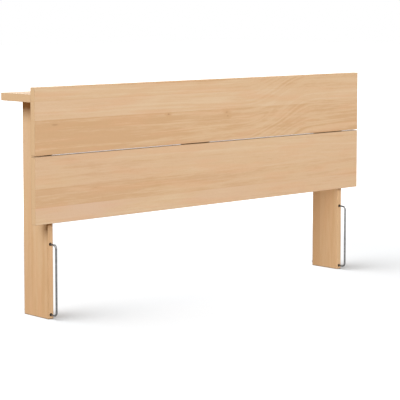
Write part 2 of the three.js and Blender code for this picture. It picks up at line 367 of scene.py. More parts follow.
class Wiring:
    """Adds nodes to one node tree and links them."""

    COLOUR_A = 6
    COLOUR_B = 7
    COLOUR_OUT = 2

    def __init__(self, tree: bpy.types.NodeTree) -> None:
        """Takes the tree that nodes are added to."""
        self.tree = tree

    def add(self, kind: str, **settings: object) -> bpy.types.Node:
        """Adds one node.

        Args:
            kind: the node's type.
            settings: its settings by name.

        Returns:
            The node.
        """
        node = self.tree.nodes.new(kind)
        for name, value in settings.items():
            setattr(node, name, value)
        return node

    def feed(self, socket: bpy.types.NodeSocket, source: NodeFeed) -> None:
        """Links a socket to a source, or sets it where the source is a plain value."""
        if isinstance(source, bpy.types.NodeSocket):
            self.tree.links.new(source, socket)
        else:
            socket.default_value = source

    def math(self, operation: str, *values: NodeFeed, clamp: bool = False) -> bpy.types.NodeSocket:
        """Works out a number.

        Args:
            operation: the kind of sum.
            values: its inputs in order.
            clamp: True to keep the result from 0 to 1.

        Returns:
            The result's socket.
        """
        node = self.add("ShaderNodeMath", operation=operation, use_clamp=clamp)
        for socket, value in zip(node.inputs, values):
            self.feed(socket, value)
        return node.outputs[0]

    def vector(self, operation: str, *values: NodeFeed) -> bpy.types.NodeSocket:
        """Works out a vector from vectors."""
        node = self.add("ShaderNodeVectorMath", operation=operation)
        for socket, value in zip(node.inputs, values):
            self.feed(socket, value)
        return node.outputs[0]

    def split(self, source: bpy.types.NodeSocket) -> bpy.types.NodeOutputs:
        """Splits a vector into its three numbers."""
        node = self.add("ShaderNodeSeparateXYZ")
        self.feed(node.inputs[0], source)
        return node.outputs

    def bundle(self, x: NodeFeed, y: NodeFeed, z: NodeFeed) -> bpy.types.NodeSocket:
        """Makes a vector of three numbers."""
        node = self.add("ShaderNodeCombineXYZ")
        for socket, value in zip(node.inputs, (x, y, z)):
            self.feed(socket, value)
        return node.outputs[0]

    def length(self, source: bpy.types.NodeSocket) -> bpy.types.NodeSocket:
        """Gives the length of a vector."""
        node = self.add("ShaderNodeVectorMath", operation="LENGTH")
        self.feed(node.inputs[0], source)
        return node.outputs["Value"]

    def distance(self, first: NodeFeed, second: NodeFeed) -> bpy.types.NodeSocket:
        """Gives the length of the diagonal of two offsets."""
        square = self.math("MULTIPLY", first, first)
        return self.math("SQRT", self.math("MULTIPLY_ADD", second, second, square))

    def mix(self, share: NodeFeed, first: NodeFeed, second: NodeFeed) -> bpy.types.NodeSocket:
        """Mixes two colours.

        Args:
            share: how much of the second colour.
            first: colour at a share of 0.
            second: colour at a share of 1.

        Returns:
            The mixed colour's socket.
        """
        node = self.add("ShaderNodeMix", data_type="RGBA", blend_type="MIX")
        self.feed(node.inputs[0], share)
        self.feed(node.inputs[self.COLOUR_A], first)
        self.feed(node.inputs[self.COLOUR_B], second)
        return node.outputs[self.COLOUR_OUT]

    def tint(
        self, colour: NodeFeed, pattern: NodeFeed, share: NodeFeed, hue: Colour
    ) -> bpy.types.NodeSocket:
        """Lays a hue over a colour where a pattern shows.

        Args:
            colour: the colour below.
            pattern: where the hue lies, from 0 to 1.
            share: how much of it is laid on there.
            hue: the colour that is laid on.

        Returns:
            The tinted colour's socket.
        """
        return self.mix(self.math("MULTIPLY", pattern, share), colour, hue)

    def step(
        self, value: NodeFeed, start: float, end: float, low: float = 0.0, high: float = 1.0
    ) -> bpy.types.NodeSocket:
        """Eases a number from one level to another as the value goes from start to end."""
        node = self.add("ShaderNodeMapRange", interpolation_type="SMOOTHSTEP")
        for socket, source in zip(node.inputs, (value, start, end, low, high)):
            self.feed(socket, source)
        return node.outputs[0]

    def noise(
        self, place: bpy.types.NodeSocket, detail: float = 2.0, roughness: float = 0.5
    ) -> bpy.types.NodeSocket:
        """Gives smooth noise from 0 to 1, at a scaled place or along a number.

        Args:
            place: the place's socket, a vector or one number.
            detail: how many finer layers the noise has.
            roughness: how strong they are.

        Returns:
            The noise's socket.
        """
        along = place.type == "VALUE"
        node = self.add("ShaderNodeTexNoise", noise_dimensions="1D" if along else "3D")
        self.feed(node.inputs["W" if along else "Vector"], place)
        node.inputs["Scale"].default_value = 1.0
        node.inputs["Detail"].default_value = detail
        node.inputs["Roughness"].default_value = roughness
        return node.outputs[0]

    def stretched_noise(
        self, place: bpy.types.NodeSocket, scale: Scale, detail: float = 2.0
    ) -> bpy.types.NodeSocket:
        """Gives noise that has its own scale along each axis."""
        return self.noise(self.vector("MULTIPLY", place, scale), detail)

    def bump(
        self, shader: bpy.types.Node, height: NodeFeed, strength: float, depth: float
    ) -> None:
        """Gives a shader a surface that is uneven.

        Args:
            shader: the Principled shader.
            height: the pattern's height.
            strength: how strongly it shows.
            depth: the height of a step from 0 to 1.
        """
        node = self.add("ShaderNodeBump")
        node.inputs["Strength"].default_value = strength
        node.inputs["Distance"].default_value = depth
        self.feed(node.inputs["Height"], height)
        self.feed(shader.inputs["Normal"], node.outputs[0])

    def group(self, tree: bpy.types.NodeTree, **feeds: NodeFeed) -> bpy.types.NodeOutputs:
        """Places a node group.

        Args:
            tree: the group.
            feeds: what its inputs take, with underscores for the spaces in their names.

        Returns:
            The group's outputs.
        """
        node = self.add("ShaderNodeGroup", node_tree=tree)
        for name, source in feeds.items():
            self.feed(node.inputs[name.replace("_", " ")], source)
        return node.outputs


class Socket(Enum):
    """The kinds of socket that the node groups use."""

    NUMBER = "NodeSocketFloat"
    VECTOR = "NodeSocketVector"


class Effect:
    """A node group that is being made, with its inputs and its outputs."""

    def __init__(self, name: str, inputs: dict[str, Socket], outputs: Sequence[str]) -> None:
        """Makes the group and its sockets.

        Args:
            name: the group's name.
            inputs: kinds of the inputs by name.
            outputs: names of the outputs, which are numbers that vary over the surface.
        """
        self.tree = bpy.data.node_groups.new(name, "ShaderNodeTree")
        for label, kind in inputs.items():
            self.tree.interface.new_socket(label, in_out="INPUT", socket_type=kind.value)
        for label in outputs:
            self.tree.interface.new_socket(label, in_out="OUTPUT", socket_type=Socket.NUMBER.value)
        self.wires = Wiring(self.tree)
        self.inside = self.wires.add("NodeGroupInput").outputs
        self.result = self.wires.add("NodeGroupOutput").inputs

    def give(self, label: str, source: bpy.types.NodeSocket) -> None:
        """Sets what one output gives."""
        self.wires.feed(self.result[label], source)


def growth_rings() -> bpy.types.NodeTree:
    """Makes the growth rings of a log as they show on a stave sawn from it.

    Returns:
        A group that gives Tone, the broad light and dark bands, and Late Wood, the fine line that
        ends each year's ring, both from 0 to 1.
    """
    wander = ((0.9, 7.0, 7.0), 46 * MM)
    waver = ((5.0, 34.0, 34.0), 7 * MM)
    band_width = 17 * MM
    ring_width = 2.7 * MM
    unevenness = 0.31
    line_sharpness = 3.0
    effect = Effect(
        "growth rings",
        {
            "Place": Socket.VECTOR,
            "Pith Across": Socket.NUMBER,
            "Pith Through": Socket.NUMBER,
            "Lean": Socket.NUMBER,
            "Seed": Socket.NUMBER,
            "Bulge": Socket.NUMBER,
        },
        ("Tone", "Late Wood"),
    )
    wires, given = effect.wires, effect.inside
    along, across, through = wires.split(given["Place"])
    from_pith = wires.bundle(
        wires.math("SUBTRACT", across, given["Pith Across"]),
        wires.math("SUBTRACT", through, given["Pith Through"]),
        given["Bulge"],
    )
    radius = wires.math("MULTIPLY_ADD", along, given["Lean"], wires.length(from_pith))
    shift = wires.bundle(given["Seed"], given["Seed"], given["Seed"])
    shifted = wires.vector("ADD", given["Place"], shift)
    for scale, reach in (wander, waver):
        drift = wires.stretched_noise(shifted, scale, 1.0)
        radius = wires.math("MULTIPLY_ADD", wires.math("SUBTRACT", drift, 0.5), reach, radius)
    seeded = wires.math("MULTIPLY_ADD", radius, 1 / band_width, given["Seed"])
    effect.give("Tone", wires.noise(seeded, detail=2.5, roughness=0.6))
    uneven = wires.noise(wires.math("MULTIPLY", radius, unevenness / ring_width))
    year = wires.math("FRACT", wires.math("MULTIPLY_ADD", radius, 1 / ring_width, uneven))
    effect.give("Late Wood", wires.math("POWER", year, line_sharpness))
    return effect.tree


def wood_fibres() -> bpy.types.NodeTree:
    """Makes the fine structure of beech.

    Returns:
        A group that gives Streaks, the long fibres, Flecks, the short dark rays, and Pores.
    """
    streak_scale = (9.0, 620.0, 620.0)
    fleck_scale = (290.0, 1500.0, 1500.0)
    pore_scale = (900.0, 5200.0, 5200.0)
    fleck_levels = (0.60, 0.72)
    pore_levels = (0.58, 0.74)
    effect = Effect("wood fibres", {"Place": Socket.VECTOR}, ("Streaks", "Flecks", "Pores"))
    wires, place = effect.wires, effect.inside["Place"]
    effect.give("Streaks", wires.stretched_noise(place, streak_scale))
    rays = wires.stretched_noise(place, fleck_scale, 1.0)
    effect.give("Flecks", wires.step(rays, *fleck_levels))
    vessels = wires.stretched_noise(place, pore_scale, 0.0)
    effect.give("Pores", wires.step(vessels, *pore_levels))
    return effect.tree


def plank_edges() -> bpy.types.NodeTree:
    """Finds the eased edges of a plank.

    Returns:
        A group that gives Edge, which is 1 on an edge and fades to 0 within an uneven width.
    """
    unevenness = (38.0, 38.0, 38.0)
    effect = Effect(
        "plank edges",
        {
            "Position": Socket.VECTOR,
            "Centre": Socket.VECTOR,
            "Half Size": Socket.VECTOR,
            "Width": Socket.NUMBER,
        },
        ("Edge",),
    )
    wires, given = effect.wires, effect.inside
    offset = wires.vector("ABSOLUTE", wires.vector("SUBTRACT", given["Position"], given["Centre"]))
    inside = wires.split(wires.vector("SUBTRACT", given["Half Size"], offset))
    nearer = wires.math("MINIMUM", inside[0], inside[1])
    farther = wires.math("MAXIMUM", inside[0], inside[1])
    second = wires.math("MAXIMUM", nearer, wires.math("MINIMUM", farther, inside[2]))
    patchy = wires.stretched_noise(given["Position"], unevenness)
    width = wires.math("MULTIPLY", given["Width"], wires.math("ADD", patchy, 0.5))
    share = wires.math("DIVIDE", second, width)
    effect.give("Edge", wires.step(share, 0.0, 1.0, 1.0, 0.0))
    return effect.tree


def metal_surface() -> bpy.types.NodeTree:
    """Makes the marks on bare or plated metal.

    Returns:
        A group that gives Draw Lines, fine lines along the first axis of Place, Tarnish, soft
        dull patches, and Spots, small dark specks.
    """
    line_scale = (30.0, 9000.0, 9000.0)
    tarnish_scale = (70.0, 70.0, 70.0)
    spot_scale = (1400.0, 1400.0, 1400.0)
    spot_levels = (0.66, 0.74)
    effect = Effect("metal surface", {"Place": Socket.VECTOR}, ("Draw Lines", "Tarnish", "Spots"))
    wires, place = effect.wires, effect.inside["Place"]
    effect.give("Draw Lines", wires.stretched_noise(place, line_scale))
    effect.give("Tarnish", wires.stretched_noise(place, tarnish_scale, 4.0))
    specks = wires.stretched_noise(place, spot_scale, 1.0)
    effect.give("Spots", wires.step(specks, *spot_levels))
    return effect.tree


@dataclass(frozen=True)
class Effects:
    """The node groups that the finishes share."""

    rings: bpy.types.NodeTree = field(default_factory=growth_rings)
    fibres: bpy.types.NodeTree = field(default_factory=wood_fibres)
    edges: bpy.types.NodeTree = field(default_factory=plank_edges)
    metal: bpy.types.NodeTree = field(default_factory=metal_surface)


def fresh_material(name: str) -> tuple[bpy.types.Material, Wiring, bpy.types.Node]:
    """Makes a material with an empty tree, a Principled shader and an output.

    Args:
        name: the material's name.

    Returns:
        The material, the wiring of its tree and its shader.
    """
    material = bpy.data.materials.new(name)
    material.use_nodes = True
    material.node_tree.nodes.clear()
    wires = Wiring(material.node_tree)
    shader = wires.add("ShaderNodeBsdfPrincipled")
    output = wires.add("ShaderNodeOutputMaterial")
    wires.feed(output.inputs["Surface"], shader.outputs[0])
    return material, wires, shader


# Finishes


class Grain(Enum):
    """The direction of the wood's grain, as the order of X, Y and Z in along, across, through."""

    ALONG_X = (0, 2, 1)
    ALONG_Z = (2, 1, 0)


@dataclass(frozen=True)
class Stave:
    """One of the strips that a plank is glued up from.

    start is where it begins across the plank. tones go from 0, pale, to 1, warm, and pinks are the
    share of pink, each at the plank's low end and at its high end. pith is the place of the heart
    of its log across and through the plank, lean is how fast its rings run out along it, and seed
    sets one log's rings apart from another's.
    """

    start: float
    tones: Span
    pinks: Span
    pith: Span
    lean: float
    seed: float


@dataclass(frozen=True)
class Knot:
    """A small pin knot on a plank, along and across it.

    stretch is its height over its length, and depth is the share of the knot's colour.
    """

    along: float
    across: float
    radius: float
    stretch: float = 0.32
    depth: float = 0.5


@dataclass(frozen=True)
class Climb:
    """A stretch along a plank over which its figure climbs across the grain."""

    start: float = 0.0
    end: float = 1.0
    rise: float = 0.0


@dataclass(frozen=True)
class Timber:
    """The wood of one plank.

    figure and patches are how strong its rings and its wide soft patches are, and amber is how
    yellow it has grown. edge_shade is how dark its long eased edges are painted, as painted shade.
    end_stain_and_shade is how dark the edges of its end grain are: end grain that is darker, and on
    the legs' feet painted shade where they stand on the floor. holes are the holes whose walls get
    painted shade, as their axes' places along and through the plank. shaded_rims are the places
    across it of edges in the gap between the boards that get painted shade, as dark as rim_shade says.
    """

    grain: Grain
    staves: tuple[Stave, ...]
    knots: tuple[Knot, ...] = ()
    climb: Climb = Climb()
    figure: float = 1.0
    patches: float = 1.0
    amber: float = 0.0
    # How dark the eased long edges are painted as shade, and how dark the end-grain edges are: darker end
    # grain, with painted shade at the legs' feet.
    edge_shade: float = 0.15
    end_stain_and_shade: float = 0.18
    # Holes whose walls get painted shade.
    holes: tuple[Span, ...] = ()
    # Edges in the gap between the boards that get painted shade, and how dark it is.
    shaded_rims: tuple[float, ...] = ()
    rim_shade: float = 0.0


@dataclass(frozen=True)
class Spot:
    """Where a point of the surface lies on its plank, as sockets.

    position is the place on the object, and place is along, across and through the plank as one
    vector. farther goes from 0 at the plank's low end to 1 towards its high end, and end is 1 on
    the end grain.
    """

    position: bpy.types.NodeSocket
    place: bpy.types.NodeSocket
    along: bpy.types.NodeSocket
    across: bpy.types.NodeSocket
    through: bpy.types.NodeSocket
    farther: bpy.types.NodeSocket
    end: bpy.types.NodeSocket


@dataclass(frozen=True)
class BeechFinish:
    """Oiled beech.

    A name that ends in swing is how far a pattern moves the tone up and down, and one that ends in
    share is how much of a colour is laid on. Levels are where a pattern begins and is full.
    far_part is the part of the length over which a plank changes to what its high end is like.
    """

    effects: Effects
    slot: str = "beech"

    pale: Colour = paint(228, 205, 175)
    honey: Colour = paint(223, 195, 161)
    warm: Colour = paint(211, 176, 138)
    rosy: Colour = paint(225, 197, 173)
    ruddy: Colour = paint(226, 182, 147)
    amber: Colour = paint(224, 184, 134)
    end_grain: Colour = paint(224, 195, 157)
    late_wood: Colour = paint(198, 148, 102)
    fleck: Colour = paint(170, 118, 78)
    knot: Colour = paint(142, 82, 48)
    # Painted shade on the eased long edges.
    edge_shade_colour: Colour = paint(176, 142, 104)
    # The darker edges of the end grain; the same colour is laid as painted shade where the legs stand on
    # the floor and along the edges in the gap between the boards.
    end_edge: Colour = paint(98, 72, 54)
    # Painted shade on the walls of the holes for the bows.
    hole_shade_colour: Colour = paint(66, 34, 12)

    mottle_scale: Scale = (6.0, 55.0, 55.0)
    streak_scale: Scale = (30.0, 300.0, 300.0)
    cloud_scale: Scale = (2.4, 15.0, 15.0)
    knot_scale: Scale = (50.0, 160.0, 160.0)
    ruddy_scale: Scale = (3.4, 22.0, 22.0)

    ring_swing: float = 1.0
    mottle_swing: float = 1.0
    streak_swing: float = 0.45
    cloud_swing: float = 0.5
    fibre_swing: float = 0.2
    halo_warmth: float = 0.45
    far_part: float = 0.8

    blush_levels: Span = (0.3, 0.65)
    ruddy_levels: Span = (0.47, 0.66)
    ruddy_share: float = 0.28
    end_levels: Span = (0.55, 0.9)
    end_grain_share: float = 0.9
    late_wood_share: float = 0.09
    late_wood_end_share: float = 0.22
    fleck_share: float = 0.24
    pore_share: float = 0.12

    knot_wobble: float = 1.5
    knot_least: float = 0.3
    knot_core: float = 0.2
    knot_bulge_reach: float = 6.0
    knot_halo: Span = (0.5, 5.0)

    edge_width: float = 2.4 * MM
    end_edge_width: float = 5.0 * MM
    end_reach: float = 1.5
    seam_width: float = 1.3 * MM
    seam_depth: float = 0.30
    seam_fade: float = 0.4
    # Half width of the painted shade along the edges in the gap between the boards.
    rim_width: float = 2.6 * MM
    # The painted shade on the walls of the holes: their radius, how far it fades out and how dark it is.
    hole_radius: float = 6.0 * MM
    hole_fade: float = 0.8 * MM
    hole_shade_depth: float = 0.85

    roughness: float = 0.60
    streak_roughness: float = 0.16
    fleck_roughness: float = 0.08
    end_roughness: float = 0.10
    edge_polish: float = 0.07
    gloss: float = 0.02
    late_wood_height: float = 0.25
    fleck_sink: float = 0.5
    pore_sink: float = 0.6
    bump_strength: float = 0.45
    bump_depth: float = 0.12 * MM

    def material(self, name: str, box: Box, timber: Timber) -> bpy.types.Material:
        """Makes the wood of one plank.

        Args:
            name: the material's name.
            box: the plank's lowest and highest corner.
            timber: its staves, knots and grain.

        Returns:
            The material.
        """
        material, wires, shader = fresh_material(name)
        spot = self._spot(wires, box, timber.grain)
        bulge, heart, halo = self._knots(wires, spot.place, timber.knots)
        rings = self._rings(wires, spot, timber, bulge)
        fibres = wires.group(self.effects.fibres, Place=spot.place)
        edge, end_edge = self._edges(wires, spot, box, timber.grain)

        colour = self._body_colour(wires, spot, timber, rings["Tone"], fibres["Streaks"], halo)
        colour = wires.tint(colour, spot.end, self.end_grain_share, self.end_grain)
        line_share = wires.math(
            "MULTIPLY_ADD", spot.end, self.late_wood_end_share, self.late_wood_share
        )
        colour = wires.tint(colour, rings["Late Wood"], line_share, self.late_wood)
        colour = wires.tint(colour, fibres["Flecks"], self.fleck_share, self.fleck)
        colour = wires.tint(colour, fibres["Pores"], self.pore_share, self.fleck)
        seam_places = [stave.start for stave in timber.staves[1:]]
        seams = self._lines(wires, spot.across, seam_places, self.seam_width, self.seam_depth)
        fading = wires.math("MULTIPLY_ADD", spot.farther, -self.seam_fade, 1.0)
        colour = wires.tint(colour, seams, fading, self.late_wood)
        # Painted shade along the edges in the gap between the boards, in the colour of the end edges.
        shaded_rims = self._lines(wires, spot.across, timber.shaded_rims, self.rim_width, timber.rim_shade)
        colour = wires.mix(shaded_rims, colour, self.end_edge)
        colour = wires.mix(heart, colour, self.knot)
        # Painted shade on the eased long edges.
        colour = wires.tint(colour, edge, timber.edge_shade, self.edge_shade_colour)
        # Darker end-grain edges, and on the legs' feet painted shade where they stand on the floor.
        colour = wires.tint(colour, end_edge, timber.end_stain_and_shade, self.end_edge)
        # Painted shade on the walls of the holes for the bows.
        colour = wires.mix(self._painted_hole_shade(wires, spot, timber.holes), colour, self.hole_shade_colour)
        wires.feed(shader.inputs["Base Color"], colour)

        rough: NodeFeed = self.roughness
        for pattern, change in (
            (fibres["Streaks"], self.streak_roughness),
            (fibres["Flecks"], self.fleck_roughness),
            (spot.end, self.end_roughness),
            (edge, -self.edge_polish),
        ):
            rough = wires.math("MULTIPLY_ADD", pattern, change, rough)
        wires.feed(shader.inputs["Roughness"], rough)
        shader.inputs["Specular IOR Level"].default_value = self.gloss

        height: NodeFeed = fibres["Streaks"]
        for pattern, change in (
            (rings["Late Wood"], self.late_wood_height),
            (fibres["Flecks"], -self.fleck_sink),
            (fibres["Pores"], -self.pore_sink),
        ):
            height = wires.math("MULTIPLY_ADD", pattern, change, height)
        wires.bump(shader, height, self.bump_strength, self.bump_depth)
        return material

    def _spot(self, wires: Wiring, box: Box, grain: Grain) -> Spot:
        """Works out where on the plank the surface is.

        Args:
            wires: the wiring of the material.
            box: the plank's lowest and highest corner.
            grain: direction of its grain.

        Returns:
            The place in the ways that the wood's patterns need it.
        """
        source = wires.add("ShaderNodeTexCoord").outputs
        axes = wires.split(source["Object"])
        along, across, through = (axes[i] for i in grain.value)
        facing = wires.split(source["Normal"])[grain.value[0]]
        low, high = (corner[grain.value[0]] for corner in box)
        return Spot(
            position=source["Object"],
            place=wires.bundle(along, across, through),
            along=along,
            across=across,
            through=through,
            farther=wires.step(along, low, low + self.far_part * (high - low)),
            end=wires.step(wires.math("ABSOLUTE", facing), *self.end_levels),
        )

    def _rings(
        self, wires: Wiring, spot: Spot, timber: Timber, bulge: NodeFeed
    ) -> bpy.types.NodeOutputs:
        """Lays the growth rings through the plank.

        Args:
            wires: the wiring of the material.
            spot: where on the plank the surface is.
            timber: the wood with its staves and its climbing figure.
            bulge: how far the rings bulge round the knots.

        Returns:
            The outputs of the growth rings.
        """
        climb = timber.climb
        climbed = wires.step(spot.along, climb.start, climb.end, 0.0, climb.rise)
        pith_across = self._by_stave(wires, spot, timber, lambda stave: stave.pith[0])
        return wires.group(
            self.effects.rings,
            Place=spot.place,
            Pith_Across=wires.math("ADD", climbed, pith_across),
            Pith_Through=self._by_stave(wires, spot, timber, lambda stave: stave.pith[1]),
            Lean=self._by_stave(wires, spot, timber, lambda stave: stave.lean),
            Seed=self._by_stave(wires, spot, timber, lambda stave: stave.seed),
            Bulge=bulge,
        )

    def _body_colour(
        self,
        wires: Wiring,
        spot: Spot,
        timber: Timber,
        bands: NodeFeed,
        fibres: NodeFeed,
        halo: NodeFeed,
    ) -> bpy.types.NodeSocket:
        """Mixes the wood's own colour, before the fine lines and marks.

        Args:
            wires: the wiring of the material.
            spot: where on the plank the surface is.
            timber: the wood with its staves.
            bands: the broad light and dark bands of the rings.
            fibres: the long fibres.
            halo: the warm halo round the knots.

        Returns:
            The colour's socket.
        """
        near_tone = self._by_stave(wires, spot, timber, lambda stave: stave.tones[0])
        far_tone = self._by_stave(wires, spot, timber, lambda stave: stave.tones[1])
        mottle = wires.stretched_noise(spot.place, self.mottle_scale, 3.0)
        streak = wires.stretched_noise(spot.place, self.streak_scale, 2.0)
        cloud = wires.stretched_noise(spot.place, self.cloud_scale, 3.0)
        tone = self._between(wires, spot.farther, near_tone, far_tone)
        for pattern, swing in (
            (bands, self.ring_swing * timber.figure),
            (mottle, self.mottle_swing),
            (streak, self.streak_swing),
            (cloud, self.cloud_swing * timber.patches),
            (fibres, self.fibre_swing),
        ):
            tone = wires.math("MULTIPLY_ADD", wires.math("SUBTRACT", pattern, 0.5), swing, tone)
        tone = wires.math("MULTIPLY_ADD", halo, self.halo_warmth, tone)
        colour = wires.mix(wires.step(tone, 0.0, 0.5), self.pale, self.honey)
        colour = wires.mix(wires.step(tone, 0.5, 1.0), colour, self.warm)

        near_pink = self._by_stave(wires, spot, timber, lambda stave: stave.pinks[0])
        far_pink = self._by_stave(wires, spot, timber, lambda stave: stave.pinks[1])
        pink = self._between(wires, spot.farther, near_pink, far_pink)
        blush = wires.math("MULTIPLY", wires.step(cloud, *self.blush_levels), pink, clamp=True)
        colour = wires.mix(blush, colour, self.rosy)
        patch = wires.stretched_noise(spot.place, self.ruddy_scale, 2.0)
        ruddiness = wires.step(patch, *self.ruddy_levels, 0.0, self.ruddy_share)
        colour = wires.mix(ruddiness, colour, self.ruddy)
        if timber.amber:
            colour = wires.mix(timber.amber, colour, self.amber)
        return colour

    @staticmethod
    def _by_stave(
        wires: Wiring, spot: Spot, timber: Timber, trait: Callable[[Stave], float]
    ) -> NodeFeed:
        """Gives a trait of the stave that the surface belongs to.

        Args:
            wires: the wiring of the material.
            spot: where on the plank the surface is.
            timber: the wood with its staves.
            trait: what reads the trait from a stave.

        Returns:
            One number for a plank of one stave, or the socket that gives it.
        """
        values = [trait(stave) for stave in timber.staves]
        result: NodeFeed = values[0]
        for stave, before, after in zip(timber.staves[1:], values, values[1:]):
            past = wires.math("GREATER_THAN", spot.across, stave.start)
            result = wires.math("MULTIPLY_ADD", past, after - before, result)
        return result

    @staticmethod
    def _between(wires: Wiring, share: NodeFeed, near: NodeFeed, far: NodeFeed) -> NodeFeed:
        """Goes from the near value to the far one."""
        return wires.math("MULTIPLY_ADD", share, wires.math("SUBTRACT", far, near), near)

    def _edges(
        self, wires: Wiring, spot: Spot, box: Box, grain: Grain
    ) -> tuple[NodeFeed, NodeFeed]:
        """Finds the plank's edges.

        Args:
            wires: the wiring of the material.
            spot: where on the plank the surface is.
            box: the plank's lowest and highest corner.
            grain: direction of its grain.

        Returns:
            The long edges and the edges of the end grain, both from 0 to 1.
        """
        centre, half = middle(box), (box[1] - box[0]) / 2
        narrow, wide = (
            wires.group(
                self.effects.edges,
                Position=spot.position,
                Centre=centre,
                Half_Size=half,
                Width=width,
            )["Edge"]
            for width in (self.edge_width, self.end_edge_width)
        )
        axis = grain.value[0]
        off_centre = wires.math("ABSOLUTE", wires.math("SUBTRACT", spot.along, centre[axis]))
        reach = self.end_reach * self.end_edge_width
        near_end = wires.step(off_centre, half[axis] - reach, half[axis])
        long_edge = wires.math("MULTIPLY", narrow, wires.math("SUBTRACT", 1.0, near_end))
        return long_edge, wires.math("MULTIPLY", wide, near_end)

    def _knots(
        self, wires: Wiring, place: bpy.types.NodeSocket, knots: Sequence[Knot]
    ) -> tuple[NodeFeed, NodeFeed, NodeFeed]:
        """Works out the knots.

        Args:
            wires: the wiring of the material.
            place: place along, across and through the plank.
            knots: the knots.

        Returns:
            How far the rings bulge round the knots, the dark hearts of the knots and the warm
            halo round them.
        """
        along, across, _ = wires.split(place)
        wobble = wires.stretched_noise(place, self.knot_scale, 3.0)
        ragged = wires.math("MULTIPLY_ADD", wobble, self.knot_wobble, self.knot_least)
        bulge: NodeFeed = 0.0
        heart: NodeFeed = 0.0
        halo: NodeFeed = 0.0
        for knot in knots:
            sideways = wires.math("SUBTRACT", across, knot.across)
            lengthways = wires.math("SUBTRACT", along, knot.along)
            lengthways = wires.math("MULTIPLY", lengthways, knot.stretch)
            away = wires.math("MULTIPLY", ragged, wires.distance(sideways, lengthways))
            bulge_reach = self.knot_bulge_reach * knot.radius
            rise = wires.step(away, 0.0, bulge_reach, bulge_reach, 0.0)
            bulge = wires.math("ADD", rise, bulge)
            dark = wires.step(away, self.knot_core * knot.radius, knot.radius, knot.depth, 0.0)
            heart = wires.math("ADD", dark, heart, clamp=True)
            halo_start, halo_end = (share * knot.radius for share in self.knot_halo)
            glow = wires.step(away, halo_start, halo_end, 1.0, 0.0)
            glow = wires.math("MULTIPLY", glow, glow)
            halo = wires.math("ADD", glow, halo, clamp=True)
        return bulge, heart, halo

    @staticmethod
    def _lines(
        wires: Wiring, across: NodeFeed, places: Sequence[float], width: float, depth: float
    ) -> NodeFeed:
        """Draws lines along the plank.

        Args:
            wires: the wiring of the material.
            across: place across the grain.
            places: where the lines run.
            width: half the width of a line.
            depth: how dark a line is.

        Returns:
            How dark the wood is there, from 0 to 1.
        """
        lines: NodeFeed = 0.0
        for line_place in places:
            off = wires.math("ABSOLUTE", wires.math("SUBTRACT", across, line_place))
            lines = wires.math("MAXIMUM", wires.step(off, 0.0, width, depth, 0.0), lines)
        return lines

    def _painted_hole_shade(self, wires: Wiring, spot: Spot, holes: Sequence[Span]) -> NodeFeed:
        """Finds where the walls of the plank's holes get painted shade.

        Args:
            wires: the wiring of the material.
            spot: where on the plank the surface is.
            holes: places of the holes' axes along and through the plank.

        Returns:
            How much painted shade darkens the wood there, from 0 to 1.
        """
        wall: NodeFeed = 0.0
        for hole_along, hole_through in holes:
            lengthways = wires.math("SUBTRACT", spot.along, hole_along)
            sideways = wires.math("SUBTRACT", spot.through, hole_through)
            away = wires.distance(lengthways, sideways)
            wood = self.hole_radius + self.hole_fade
            dark = wires.step(away, self.hole_radius, wood, self.hole_shade_depth, 0.0)
            wall = wires.math("MAXIMUM", dark, wall)
        return wall


@dataclass(frozen=True)
class DowelFinish:
    """Plain dowel wood, for the round pins inside the joints."""

    effects: Effects
    slot: str = "dowel_wood"
    pale: Colour = paint(214, 184, 138)
    dark: Colour = paint(184, 146, 98)
    fleck_share: float = 0.4
    roughness: float = 0.55
    streak_roughness: float = 0.2
    bump_strength: float = 0.4
    bump_depth: float = 0.1 * MM

    def material(self) -> bpy.types.Material:
        """Makes the material of the dowels.

        Returns:
            The material.
        """
        material, wires, shader = fresh_material("dowel wood")
        position = wires.add("ShaderNodeTexCoord").outputs["Object"]
        fibres = wires.group(self.effects.fibres, Place=position)
        streaks = fibres["Streaks"]
        tone = wires.math("MULTIPLY_ADD", fibres["Flecks"], self.fleck_share, streaks)
        wires.feed(shader.inputs["Base Color"], wires.mix(tone, self.pale, self.dark))
        rough = wires.math("MULTIPLY_ADD", streaks, self.streak_roughness, self.roughness)
        wires.feed(shader.inputs["Roughness"], rough)
        wires.bump(shader, streaks, self.bump_strength, self.bump_depth)
        return material


ROD_PLACE = "rod_place"
ARM_PLACE = "arm_place"
# Painted shade on each arm where it goes into the leg's hole: where it begins and ends, measured along the
# arm from its bend, and its near black colour.
ARM_SHADE_BEGINS: Span = (8 * MM, 17 * MM)
ARM_SHADE_ENDS: Span = (60 * MM, 64 * MM)
ARM_SHADE_COLOUR = paint(20, 10, 4)


class Pattern(Enum):
    """What a metal's marks are laid out by."""

    OBJECT = "object coordinates"
    ROD = "distance along and round the rod"


